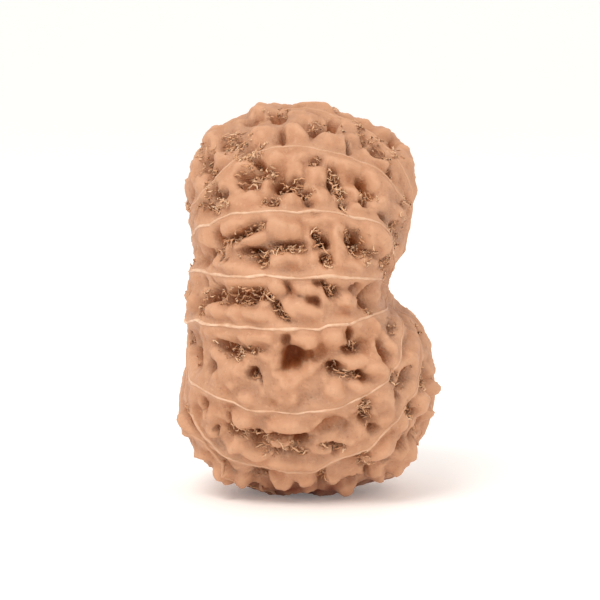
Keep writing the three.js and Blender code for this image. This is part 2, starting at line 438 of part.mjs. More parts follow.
function dimpleDepthAt(p) {
  return DIMPLES.reduce((sum, { at, along, across, depth }) => {
    const d = p.clone().sub(at);
    const level = Math.hypot(d.x, d.y) / along;
    const stem = 1 - THREE.MathUtils.smoothstep(d.length(), 0, STEM_PIT.radius);
    return sum + depth * Math.exp(-(level ** 2) - (d.z / across) ** 2) + STEM_PIT.depth * stem;
  }, 0);
}

// The skin's height over the shell at p, which lies lineGap from the nearest raised line.
function reliefAt(p, lineGap, knobs, pits) {
  const fade = Math.min(1, distanceToAxis(p) / 4);
  const onLine = Math.exp(-((lineGap / WELT.width) ** 2));
  const crest = fade * (CREST.height * Math.exp(-((lineGap / CREST.width) ** 2)) + WELT.height * onLine);
  const net = (knobHeightAt(p, knobs) - pitDepthAt(p, pits)) * (1 - SINKS_AT_LINE * fade * onLine);
  return SWELL * swell(p) + net + crest - dimpleDepthAt(p);
}

// The globe's rows: each one runs at a share of the way from one raised line to the next.
function makeRows(lines) {
  const rows = [];
  lines.forEach((line, i) => {
    const next = lines[(i + 1) % lines.length];
    const wrap = i === lines.length - 1 ? 2 * Math.PI : 0;
    const span = (tilt) => next(tilt) - wrap - line(tilt);
    const widths = GAP_TILTS.map((tilt) => Math.abs(span(tilt)) * distanceToAxis(fromGlobe(tilt, line(tilt))));
    const widest = Math.max(...widths);
    const count = Math.max(FEWEST_ROWS, Math.round(widest / ROW_STEP));
    for (let k = 0; k < count; k++) {
      const share = k / count - (ROW_CROWDING * Math.sin((2 * Math.PI * k) / count)) / (2 * Math.PI);
      rows.push({ line, span, share });
    }
  });
  return rows;
}

// A closed globe of rows and rings, shaped into the seed.
function makeSeedGeometry() {
  const lines = makeLines();
  const frontKnobs = FRONT_KNOBS.map(frontMark);
  const frontPits = FRONT_PITS.map(frontMark);
  const hidden = makeHiddenMarks(lines, frontKnobs, frontPits);
  const knobs = [...frontKnobs, ...hidden.knobs];
  const pits = [...frontPits, ...hidden.pits];
  const rows = makeRows(lines);
  const globe = new THREE.SphereGeometry(1, rows.length, RINGS);
  globe.deleteAttribute("normal");
  globe.deleteAttribute("uv");
  const position = globe.getAttribute("position");
  for (let i = 0; i < position.count; i++) {
    const ring = Math.floor(i / (rows.length + 1)) / RINGS;
    const { line, span, share } = rows[(i % (rows.length + 1)) % rows.length];
    const tilt = Math.PI * ring + RING_CROWDING * Math.sin(2 * Math.PI * ring);
    const p = fromGlobe(tilt, line(tilt) + share * span(tilt));
    const lineGap = Math.abs(span(tilt)) * Math.min(share, 1 - share) * distanceToAxis(p);
    p.addScaledVector(shellNormal(p), reliefAt(p, lineGap, knobs, pits)).add(CENTRE_SHIFT);
    position.setXYZ(i, p.x, p.y, Math.max(p.z, 0));
  }
  return mergeVertices(globe, 1e-4);
}

const seed = new THREE.Mesh(
  makeSeedGeometry(),
  new THREE.MeshStandardMaterial({ color: SEED_COLOUR, roughness: 0.6, metalness: 0 }),
);
seed.name = "seed";

const group = new THREE.Group();
group.add(seed);

export default group;
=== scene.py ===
"""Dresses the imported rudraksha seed: its knobbly skin, its raised lines and the dried fibres in its pits."""

import math

import bpy
import numpy as np
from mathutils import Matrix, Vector, noise


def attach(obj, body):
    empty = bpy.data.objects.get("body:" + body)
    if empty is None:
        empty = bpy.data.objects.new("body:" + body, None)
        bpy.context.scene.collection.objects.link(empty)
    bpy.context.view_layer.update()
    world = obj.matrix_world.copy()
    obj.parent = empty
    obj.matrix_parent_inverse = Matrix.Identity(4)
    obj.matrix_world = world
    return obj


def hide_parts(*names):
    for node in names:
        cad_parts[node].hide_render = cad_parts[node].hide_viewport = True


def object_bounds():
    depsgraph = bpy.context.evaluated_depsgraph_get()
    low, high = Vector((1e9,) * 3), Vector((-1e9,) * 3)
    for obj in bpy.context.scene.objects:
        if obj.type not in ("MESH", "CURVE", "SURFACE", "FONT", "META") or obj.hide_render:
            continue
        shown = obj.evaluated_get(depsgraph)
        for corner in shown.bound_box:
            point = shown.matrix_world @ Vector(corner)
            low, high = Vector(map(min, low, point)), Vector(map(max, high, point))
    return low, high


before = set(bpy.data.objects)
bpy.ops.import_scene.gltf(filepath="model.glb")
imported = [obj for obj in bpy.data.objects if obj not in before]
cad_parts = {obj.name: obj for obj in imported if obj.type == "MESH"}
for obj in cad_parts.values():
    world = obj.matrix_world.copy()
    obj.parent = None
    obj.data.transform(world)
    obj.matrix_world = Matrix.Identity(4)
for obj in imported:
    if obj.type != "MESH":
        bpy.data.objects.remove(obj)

CAD_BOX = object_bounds()

# Sizes are in millimetres up to the finished meshes, which are in metres. +Z is up and -Y is the front.
MM = 0.001
SHIFT = np.array([0.06, -0.07, -0.45])  # from the measurements' origin to the middle of the footprint

# The shell under the relief: its front outline as radii from MIDDLE, every 15 degrees from +X towards +Z.
MIDDLE = np.array([-0.2, 0.0, 17.0])
OUTLINE_RADII = np.array([
    7.3, 7.1, 9.6, 12.8, 15.0, 15.8, 16.3, 16.3, 15.9, 14.1, 10.8, 10.0,
    10.2, 10.2, 11.6, 14.8, 16.4, 16.9, 17.0, 16.7, 16.5, 14.6, 12.4, 10.25,
])
HALF_DEPTH = 12.0
SQUARENESS = 2.2
BEYOND_SHELL = 40.0  # from CORE, farther out than any of the shell
NORMAL_STEP = 0.05
HALVINGS = 40

# The two stem ends, which the raised lines run between, each in a dimple with a small pit.
RIGHT_END = np.array([6.9, -2.2, 18.1])
LEFT_END = np.array([-8.7, 7.2, 18.3])
DIMPLES = [(RIGHT_END, 2.6, 1.7, 0.4), (LEFT_END, 3.2, 2.3, 2.0)]  # at, along, across, depth
STEM_PIT_RADIUS = 1.0
STEM_PIT_DEPTH = 0.9

# What the front shows is laid out on the plane y = 0 and carried to the shell from this point of view.
EYE = np.array([-0.8, -208.0, 39.0])
FARTHEST_OUT = 0.985  # a front mark's place, as a share of the way from MIDDLE to the outline
WIDEST_STRETCH = 2.0  # of a front mark that lies on a slant

# The raised lines that the front doesn't show, by their turn about the axis in radians.
HIDDEN_LINES = 7
HIDDEN_LINES_FROM = -1.92
HIDDEN_LINES_STEP = -0.36
HIDDEN_LINE_SWAY = 0.035
HIDDEN_LINE_WAVES = 3
HIDDEN_LINE_PHASE = 2.4

# Each raised line lies on a low welt, where the knobs and pits are shallow.
WELT_HEIGHT = 0.22
WELT_WIDTH = 0.6
WELT_FADE = 4.0  # from the axis, where the lines crowd
SINKS_AT_LINE = 0.8

# How tall a knob and how deep a pit of strength 1 is.
KNOB_HEIGHT = 1.6
PIT_DEPTH = 1.35
BASIN_DEPTH = 0.45  # of the wide hollow round a pit
DEEPEST_PIT = 2.2  # where several pits melt together

# How far a mark's shape goes, in half lengths, and the power that marks are melted together with.
KNOB_REACH = 1.25
KNOB_MELT = 4
PIT_REACH = 1.3
PIT_MELT = 3
BASIN_REACH = 2.4
BASIN_MELT = 4
PIT_FLOOR = 0.36  # of the reach, where a pit's wall starts
PIT_RIM = 0.94

# The shell's own slow swell, and how far the skin between the knobs lies under it.
SWELL_HEIGHT = 0.2
SKIN_SINKS = 0.3

# The skin's unevenness, each row made by one noise: [how far or how high, size of its lumps, seed].
NOISE_SEED = 5  # vector noise starts from the clock unless it has a seed
SEED_APART = 17.3
WARPS = [[0.25, 1.6, 1], [0.08, 0.55, 2]]
RAGGED_EDGES = [[0.2, 0.9, 3], [0.12, 0.35, 4]]
COBBLES = [[0.19, 1.8, 5], [0.09, 0.8, 6]]
COBBLE_LEVEL = 0.6  # of a cobble's height, which lies level with the skin
COBBLE_CREASE = (-0.05, 0.55)
WRINKLES = [[0.05, 0.08, 0.7, 7], [0.02, 0.10, 0.25, 8]]  # height, height added where rough, size, seed
ROUGH_PATCHES = (2.5, 13)  # size, seed
BASIN_ROUGHNESS = 1.6
WEB_HEIGHT = 0.5  # of the low walls between the pits
WEB_NARROWING = 2.2
WEBS = (2.3, 12)  # size, seed

# What comes this near the sides of the solid's box is pressed together there, and not cut off flat.
EDGE_ROOM = 0.35

# The eight lines of the front, from the top to the bottom, each as points [x, z].
FRONT_LINES = [
    [[-3.0, 32.8], [-1.4, 32.9], [0.3, 32.9], [1.8, 32.5], [3.2, 31.9], [4.6, 31.3]],
    [[-9.3, 25.2], [-8.2, 26.6], [-6.8, 27.9], [-5.5, 28.7], [-4.0, 29.3], [-2.5, 29.6], [-0.5, 29.65],
     [1.0, 29.3], [3.0, 29.0], [4.0, 28.6], [5.3, 28.0], [6.1, 27.6], [6.8, 26.9], [7.7, 25.7], [8.5, 24.5]],
    [[-9.5, 22.7], [-8.2, 23.2], [-7.5, 23.7], [-6.5, 24.1], [-5.0, 24.15], [-3.5, 24.3], [-2.0, 24.35],
     [-0.8, 24.25], [0.5, 24.45], [1.5, 24.35], [3.0, 24.15], [4.0, 23.85], [5.0, 23.65], [6.0, 23.3],
     [6.6, 22.7], [7.0, 21.7]],
    [[-9.8, 19.2], [-9.0, 19.3], [-8.0, 19.0], [-6.5, 18.85], [-5.0, 18.85], [-3.5, 18.95], [-2.0, 18.8],
     [-0.5, 18.75], [1.0, 18.85], [2.0, 18.95], [3.5, 18.8], [4.8, 18.8], [6.2, 18.8]],
    [[-10.2, 15.25], [-9.5, 15.1], [-8.5, 14.75], [-7.0, 14.6], [-5.0, 14.5], [-3.0, 14.4], [-1.0, 14.4],
     [0.9, 14.4], [1.6, 14.75], [2.6, 14.8], [3.6, 14.85], [4.5, 15.3], [5.5, 15.7], [6.5, 16.1]],
    [[-9.9, 9.8], [-9.4, 9.4], [-8.5, 8.9], [-7.5, 8.4], [-6.3, 8.1], [-5.2, 7.5], [-4.5, 7.3], [-3.0, 7.3],
     [-1.0, 7.2], [0.0, 7.35], [1.6, 7.5], [2.5, 7.7], [3.5, 8.1], [4.5, 8.6], [5.5, 9.2], [6.5, 10.0],
     [7.1, 10.9], [7.6, 11.7], [7.75, 12.6], [7.8, 13.6]],
    [[-9.9, 6.9], [-9.3, 5.6], [-8.5, 4.7], [-7.5, 3.7], [-6.5, 3.15], [-5.5, 2.85], [-4.0, 2.5], [-3.0, 2.2],
     [-1.5, 2.1], [0.0, 2.1], [1.0, 2.4], [2.0, 2.9], [3.0, 3.4], [4.2, 3.8], [5.0, 4.1], [6.0, 5.1],
     [6.8, 5.9], [7.5, 6.6], [8.1, 7.5], [8.6, 8.3], [9.1, 9.4]],
    [[-8.9, 4.6], [-8.2, 3.7], [-7.3, 2.8], [-6.6, 1.95], [0.0, -0.02], [4.0, 0.76], [8.0, 2.6]],
]

# Knobs and pits of the front, row by row down the seed: [x, z, half length, half width, turn in degrees
# from +X, strength as a share of KNOB_HEIGHT or PIT_DEPTH].
FRONT_KNOBS = [
    # over the first line and down to the second
    [-4.2, 33.1, 1.0, 0.8, 0, 0.75], [-0.6, 32.3, 1.3, 0.9, -20, 0.3], [0.3, 33.6, 1.7, 0.5, -4, 0.65],
    [3.4, 31.3, 0.7, 1.0, 0, 0.2], [4.7, 32.1, 0.8, 0.5, -30, 0.3], [-3.8, 30.6, 1.1, 0.75, -10, 0.6],
    [-1.1, 30.7, 1.0, 0.8, -10, 0.6], [2.0, 30.3, 1.3, 0.85, 20, 0.45], [-8.3, 30.8, 1.3, 1.0, 30, 0.3],
    [-6.0, 31.8, 1.7, 0.7, 5, 0.35], [6.1, 30.8, 1.0, 0.45, -15, 0.4], [8.0, 28.8, 0.9, 1.5, 10, 0.45],
    [5.6, 28.8, 1.5, 0.5, -10, 0.3], [-6.9, 29.1, 1.2, 0.6, 20, 0.4], [-9.7, 28.3, 0.5, 1.4, -8, 0.25],
    # under the second line
    [-1.0, 29.1, 0.9, 0.55, 0, 0.35], [-2.6, 29.0, 0.9, 0.5, 5, 0.3], [3.0, 28.4, 1.6, 0.55, -15, 0.5],
    [6.0, 27.0, 1.5, 0.8, -40, 0.5], [6.2, 25.4, 0.8, 1.1, 0, 0.35], [-5.8, 28.2, 1.0, 0.45, -10, 0.3],
    [-6.8, 27.1, 1.0, 0.9, 0, 0.45], [-9.2, 26.6, 0.9, 0.7, 35, 0.3], [-5.4, 25.3, 1.7, 0.6, 0, 0.45],
    [-3.5, 26.5, 0.5, 0.9, 0, 0.35], [-1.2, 27.9, 0.7, 0.7, 0, 0.4], [0.7, 27.2, 0.8, 0.9, 0, 0.5],
    [0.9, 25.6, 0.85, 0.75, 0, 0.5], [-1.3, 25.3, 1.1, 0.55, 0, 0.45], [3.9, 26.0, 0.65, 0.7, 0, 0.25],
    [4.4, 24.6, 1.0, 0.4, 5, 0.3], [8.6, 26.0, 0.6, 0.8, 0, 0.35], [7.6, 24.1, 0.7, 0.7, 0, 0.2],
    # under the third line
    [-6.4, 23.2, 1.3, 0.65, 12, 0.55], [-2.3, 23.1, 1.35, 1.15, 0, 0.65], [-4.5, 22.0, 1.3, 0.42, 18, 0.5],
    [-8.8, 22.3, 0.75, 1.1, -8, 0.4], [1.5, 23.7, 1.6, 0.4, 0, 0.35], [2.6, 21.8, 0.65, 1.9, 3, 0.5],
    [0.1, 22.0, 0.4, 1.0, 0, 0.25], [5.9, 22.3, 1.3, 0.9, -45, 0.6], [7.6, 21.0, 0.6, 0.8, -20, 0.3],
    [-6.6, 19.8, 1.9, 0.5, 0, 0.45], [-1.7, 20.1, 1.7, 0.65, 0, 0.5], [0.3, 20.4, 0.6, 0.5, 0, 0.3],
    [4.6, 19.7, 1.4, 0.5, 0, 0.25], [-9.3, 20.3, 0.6, 0.7, 0, 0.2],
    # under the fourth line
    [-9.7, 18.2, 0.7, 0.8, 0, 0.4], [-5.5, 18.4, 2.2, 0.35, 0, 0.25], [-2.7, 18.0, 0.7, 0.8, 0, 0.4],
    [-0.3, 17.8, 1.1, 0.6, -15, 0.45], [3.4, 18.3, 1.3, 0.4, 0, 0.25], [7.2, 18.1, 0.75, 0.7, 0, 0.55],
    [7.4, 17.8, 0.7, 0.6, 0, 0.7], [5.5, 17.3, 0.7, 1.0, 0, 0.4], [3.4, 16.7, 1.1, 0.7, -30, 0.5],
    [-0.6, 15.9, 1.6, 0.85, -15, 0.5], [-7.5, 15.8, 1.5, 0.6, 0, 0.45], [-4.4, 15.5, 1.5, 0.55, -3, 0.5],
    [-9.9, 16.7, 0.6, 0.8, 0, 0.3],
    # under the fifth line
    [-4.6, 13.6, 1.3, 0.5, 0, 0.3], [-3.4, 13.6, 0.55, 0.5, 0, 0.4], [-0.2, 13.4, 1.2, 0.75, 0, 0.65],
    [2.1, 13.5, 0.9, 0.9, 0, 0.35], [5.0, 14.4, 1.1, 0.8, 10, 0.35], [6.9, 13.1, 0.4, 1.1, 20, 0.3],
    [9.0, 11.9, 1.0, 1.2, 20, 0.45], [4.1, 11.6, 1.2, 0.55, 5, 0.5], [5.9, 10.9, 0.8, 1.1, 20, 0.4],
    [4.4, 9.5, 0.9, 0.6, -15, 0.5], [2.3, 8.9, 0.8, 0.85, 0, 0.4], [0.3, 10.8, 1.6, 0.35, 33, 0.3],
    [-2.5, 10.2, 0.9, 0.35, -35, 0.25], [-1.9, 8.6, 1.0, 1.1, 0, 0.35], [-5.2, 8.4, 0.6, 0.55, 0, 0.45],
    [-3.4, 11.3, 1.0, 0.9, 0, 0.2], [-8.2, 13.9, 1.4, 0.6, 0, 0.2], [-6.7, 10.8, 1.2, 0.8, 0, 0.2],
    # under the sixth line
    [-8.3, 7.2, 0.9, 1.0, -30, 0.2], [-5.7, 6.6, 0.95, 0.85, 0, 0.45], [-1.3, 6.25, 2.1, 0.9, 2, 0.65],
    [3.4, 7.2, 1.0, 0.5, 15, 0.3], [6.6, 8.6, 1.0, 1.2, 20, 0.35], [6.9, 7.0, 0.5, 1.1, -25, 0.25],
    [-5.5, 3.8, 1.9, 0.5, -15, 0.4], [-2.3, 4.45, 0.9, 0.25, 5, 0.25], [-1.5, 2.55, 2.3, 0.4, 0, 0.4],
    [3.9, 5.0, 1.1, 0.6, 20, 0.2], [-8.2, 5.6, 0.8, 0.6, -40, 0.2],
    # under the seventh line, and the feet
    [6.2, 3.9, 1.5, 0.6, 50, 0.6], [8.3, 3.7, 1.1, 0.9, 50, 0.55], [2.8, 1.8, 1.5, 0.8, 40, 0.5],
    [7.8, 6.1, 0.9, 0.6, 50, 0.45], [9.5, 8.0, 0.5, 0.9, -15, 0.45], [10.3, 6.8, 0.5, 0.9, -10, 0.5],
    [10.4, 11.0, 0.4, 1.2, 0, 0.3], [10.8, 9.0, 0.55, 0.55, 0, 0.9], [-10.7, 5.7, 0.7, 0.65, 0, 0.8],
    [-9.3, 3.7, 0.8, 0.8, 0, 0.4], [-7.2, 1.4, 0.8, 0.65, 0, 0.8], [-5.6, 1.4, 0.7, 0.6, 0, 0.5],
    [-2.2, 1.2, 1.0, 0.8, 0, 0.5], [-0.2, 1.4, 0.75, 0.6, 0, 0.5], [6.0, 1.8, 0.8, 0.6, 10, 0.6],
    [7.3, 2.3, 0.8, 0.55, 20, 0.55], [3.3, 0.5, 1.0, 0.45, 15, 0.6],
]
FRONT_PITS = [
    # over the first line and down to the second
    [-2.6, 32.6, 0.8, 0.65, 20, 0.7], [-0.9, 33.4, 0.6, 0.18, -5, 0.4], [-4.5, 32.1, 1.0, 0.15, 0, 0.35],
    [-2.1, 30.7, 0.18, 0.6, 0, 0.5], [-0.6, 31.2, 0.9, 0.15, -28, 0.4], [1.3, 31.5, 0.9, 0.45, 35, 1.1],
    [2.2, 32.0, 0.5, 0.5, 0, 0.9], [3.4, 32.2, 1.2, 0.18, -33, 0.4], [4.7, 30.8, 0.3, 0.8, 10, 0.4],
    [5.4, 29.6, 0.5, 0.5, 0, 0.8], [6.2, 29.6, 0.6, 0.4, 0, 0.55], [7.0, 29.8, 0.4, 0.4, -20, 0.7],
    [3.3, 29.7, 0.25, 0.7, 8, 0.5], [-6.2, 30.1, 0.75, 0.25, 50, 0.55], [-7.2, 30.1, 0.5, 0.5, 0, 0.4],
    [-8.6, 28.5, 0.5, 0.7, -8, 0.75], [-8.4, 27.5, 0.5, 0.3, -40, 0.4], [7.0, 27.5, 0.2, 0.6, 10, 0.6],
    [8.25, 25.2, 0.3, 0.35, 0, 0.6], [8.4, 24.4, 0.5, 0.15, -60, 0.4],
    # under the second line
    [-5.0, 29.1, 0.8, 0.35, 10, 0.6], [-4.2, 28.5, 0.8, 0.4, -50, 0.8], [-4.6, 27.55, 1.5, 0.32, 4, 0.8],
    [-5.1, 26.7, 0.9, 0.5, -15, 0.75], [-8.0, 26.0, 0.35, 0.6, -15, 0.9], [-7.3, 25.8, 0.5, 0.3, 10, 0.5],
    [-2.4, 26.9, 0.5, 0.55, 0, 1.1], [-1.1, 26.8, 0.8, 0.6, 15, 0.9], [-0.3, 25.9, 0.85, 0.3, -5, 0.7],
    [-3.0, 25.2, 0.6, 0.32, 20, 0.5], [0.1, 25.0, 0.35, 0.3, 0, 0.5], [0.7, 28.5, 0.5, 0.4, 20, 0.35],
    [2.1, 27.8, 0.5, 0.32, -10, 0.65], [1.9, 26.9, 0.25, 1.0, 6, 0.7], [2.5, 26.9, 0.35, 0.8, 8, 0.6],
    [2.8, 25.8, 0.5, 0.2, 5, 0.7], [3.0, 24.8, 0.4, 0.3, 0, 0.6], [4.7, 26.5, 0.45, 0.75, 18, 1.1],
    [5.2, 25.7, 0.5, 0.35, 0, 0.9], [4.7, 25.0, 0.4, 0.3, 10, 0.6], [-8.9, 24.8, 0.5, 0.4, 0, 0.4],
    [-10.0, 24.8, 0.2, 0.4, 10, 0.3],
    # under the third line
    [-5.5, 22.55, 1.6, 0.33, 17, 1.05], [-3.7, 23.2, 0.6, 0.2, 45, 0.4], [-7.6, 21.7, 0.35, 1.35, 8, 0.75],
    [-8.05, 20.6, 0.2, 0.5, 8, 0.8], [-4.8, 21.1, 1.35, 0.35, 3, 1.1], [-1.8, 21.5, 1.4, 0.33, 4, 0.7],
    [-3.9, 20.3, 0.7, 0.55, -20, 0.65], [-9.6, 20.6, 0.3, 0.4, 0, 0.25], [0.7, 22.4, 0.35, 0.35, 0, 0.8],
    [1.3, 21.75, 0.5, 0.55, 30, 1.2], [1.6, 20.2, 0.5, 0.6, 20, 0.75], [4.3, 21.6, 1.35, 0.75, -50, 1.15],
    [3.6, 22.7, 0.4, 0.4, 0, 0.7], [5.3, 20.7, 0.6, 0.3, -10, 0.8], [6.5, 20.3, 0.5, 0.22, 8, 0.9],
    [6.6, 19.4, 0.75, 0.3, -35, 1.0], [6.3, 23.8, 0.3, 0.25, 0, 0.6], [6.6, 22.8, 0.6, 0.14, -62, 0.45],
    [7.5, 23.0, 0.5, 0.5, 0, 0.4], [7.6, 21.9, 0.2, 0.3, 0, 0.35],
    # under the fourth line
    [-8.75, 18.4, 0.14, 0.4, 10, 0.35], [-8.05, 18.5, 0.14, 0.4, -10, 0.35],
    [-10.0, 17.7, 0.25, 0.35, 0, 0.4],
    [-8.3, 17.2, 1.0, 0.6, 5, 0.85], [-6.4, 17.1, 1.1, 0.7, 0, 0.9], [-4.6, 17.2, 1.0, 0.6, 0, 0.9],
    [-3.6, 17.0, 0.35, 0.35, 0, 1.2], [-2.4, 15.8, 1.25, 0.4, -53, 0.85], [-9.35, 15.7, 0.16, 0.5, 0, 0.4],
    [-8.85, 15.6, 0.12, 0.4, 0, 0.35], [-1.75, 17.9, 0.75, 0.2, -65, 0.5], [0.9, 18.35, 0.65, 0.32, -15, 0.9],
    [1.7, 17.6, 0.9, 0.33, -55, 0.8], [2.35, 17.35, 0.3, 0.5, 0, 0.7], [0.5, 16.7, 0.7, 0.4, -25, 0.6],
    [4.0, 17.7, 0.42, 0.35, 0, 0.8], [4.75, 16.7, 0.75, 0.27, -60, 0.95], [5.1, 15.8, 0.4, 0.2, -15, 0.5],
    [6.0, 17.8, 0.3, 0.1, -25, 0.25],
    # under the fifth line
    [-7.1, 12.6, 1.25, 0.5, -12, 0.9], [-5.2, 12.5, 0.8, 0.25, 0, 0.4], [-1.5, 11.7, 0.95, 0.9, 0, 1.45],
    [-1.9, 13.3, 0.4, 0.7, 5, 0.8], [-1.5, 11.0, 0.75, 0.5, 0, 1.1], [-0.3, 11.9, 0.8, 0.45, 20, 0.8],
    [-8.4, 11.0, 0.35, 0.5, 20, 0.7], [-8.25, 10.75, 0.25, 0.25, 0, 1.0], [-4.8, 10.4, 0.5, 0.45, 45, 0.95],
    [-4.2, 10.0, 0.18, 0.4, 20, 0.6], [3.6, 14.0, 0.3, 0.8, 8, 0.85], [3.85, 12.6, 0.85, 0.5, 8, 0.95],
    [6.5, 12.2, 1.25, 0.4, -58, 0.65], [7.3, 14.6, 0.4, 0.5, 0, 0.65], [2.3, 10.9, 0.75, 0.55, 0, 1.1],
    [3.3, 10.4, 0.9, 0.22, -3, 0.8], [4.6, 10.25, 0.55, 0.33, -35, 0.85], [7.1, 10.4, 0.32, 0.6, -15, 0.7],
    # under the sixth line
    [-9.1, 8.0, 0.15, 0.7, 12, 0.3], [-10.2, 6.8, 0.3, 1.1, 12, 0.6], [-7.7, 5.35, 0.14, 0.28, 0, 0.35],
    [-6.2, 5.4, 1.0, 0.45, -8, 0.95], [-4.5, 4.75, 0.9, 0.6, -22, 1.25], [-2.3, 4.95, 1.9, 0.25, 0, 1.0],
    [-1.9, 3.6, 1.7, 0.4, -8, 0.65], [-6.6, 6.5, 0.25, 0.5, 20, 0.4], [-0.7, 4.4, 0.7, 0.4, 20, 0.95],
    [2.0, 5.9, 1.6, 0.6, 12, 0.4], [2.1, 4.2, 1.1, 0.33, -8, 0.65], [2.4, 3.7, 0.35, 0.45, 0, 0.6],
    [4.8, 8.25, 0.4, 0.22, 0, 0.6], [4.95, 7.1, 0.5, 0.8, 0, 0.6], [5.35, 7.35, 0.2, 0.25, 0, 0.8],
    [4.8, 6.4, 0.35, 0.35, 0, 0.8], [5.6, 5.6, 0.5, 0.38, 0, 0.95],
    # under the seventh line, and between the feet
    [8.3, 10.1, 0.85, 0.26, 45, 1.0], [9.6, 10.3, 0.25, 0.7, -10, 1.0], [8.6, 7.9, 0.22, 0.7, -22, 1.0],
    [8.95, 7.2, 0.25, 0.35, 0, 1.1], [9.6, 6.3, 0.4, 0.9, -25, 1.1], [8.5, 5.95, 0.45, 0.2, 60, 0.5],
    [4.7, 3.55, 0.5, 0.5, 0, 0.7], [4.95, 2.6, 0.6, 0.35, 0, 0.7], [6.6, 3.05, 0.3, 0.14, 15, 0.6],
    [7.6, 4.3, 0.9, 0.2, 55, 0.4], [-4.2, 1.5, 0.7, 0.7, 0, 0.9], [1.2, 1.5, 0.28, 0.7, -10, 0.75],
    [3.9, 1.3, 0.65, 0.28, 50, 0.8], [-6.6, 2.4, 0.7, 0.15, -50, 0.35], [5.1, 1.9, 0.3, 0.45, 10, 0.6],
]

# Narrow pits and low knobs that only the fine skin shows, in the same form as above.
FINE_PITS = [
    [8.3, 10.2, 0.8, 0.4, 45, 0.9], [9.9, 10.5, 0.3, 0.7, -15, 0.9], [8.55, 7.6, 0.3, 0.6, -20, 0.9],
    [9.7, 6.2, 0.4, 0.8, -20, 0.9], [9.0, 5.3, 0.5, 0.25, 50, 0.6], [10.6, 9.9, 0.2, 0.4, 0, 0.6],
    [7.6, 8.7, 0.25, 0.5, 20, 0.5], [10.2, 8.0, 0.25, 0.5, -10, 0.7], [-7.8, 5.6, 0.2, 0.4, 0, 0.7],
    [-8.95, 7.9, 0.22, 0.7, 12, 0.6], [-10.2, 6.9, 0.35, 0.8, 12, 0.7],
    [8.2, 25.2, 0.4, 0.4, 0, 0.8], [6.4, 23.8, 0.4, 0.3, 0, 0.7], [-7.1, 20.2, 0.5, 0.15, 10, 0.5],
    [7.9, 4.4, 0.8, 0.25, 55, 0.6], [1.3, 1.2, 0.4, 0.6, -10, 0.8], [-0.9, 1.0, 0.15, 0.4, 0, 0.7],
    [-1.9, 10.9, 0.35, 0.4, 0, 0.9], [-0.8, 11.4, 0.7, 0.3, 30, 0.9],
]
FINE_KNOBS = [
    [9.0, 9.3, 0.8, 0.35, 60, 0.35], [9.4, 8.4, 0.4, 0.4, 0, 0.35], [9.9, 5.0, 0.5, 0.7, -30, 0.45],
    [8.2, 6.7, 0.5, 0.4, 30, 0.35], [7.2, 5.0, 0.9, 0.3, 50, 0.35], [9.1, 13.2, 0.5, 1.0, 15, 0.3],
    [-6.5, 9.6, 0.5, 0.4, 0, 0.2], [-1.0, 9.6, 0.9, 0.35, 35, 0.2], [4.6, 5.9, 0.35, 0.5, 0, 0.25],
]

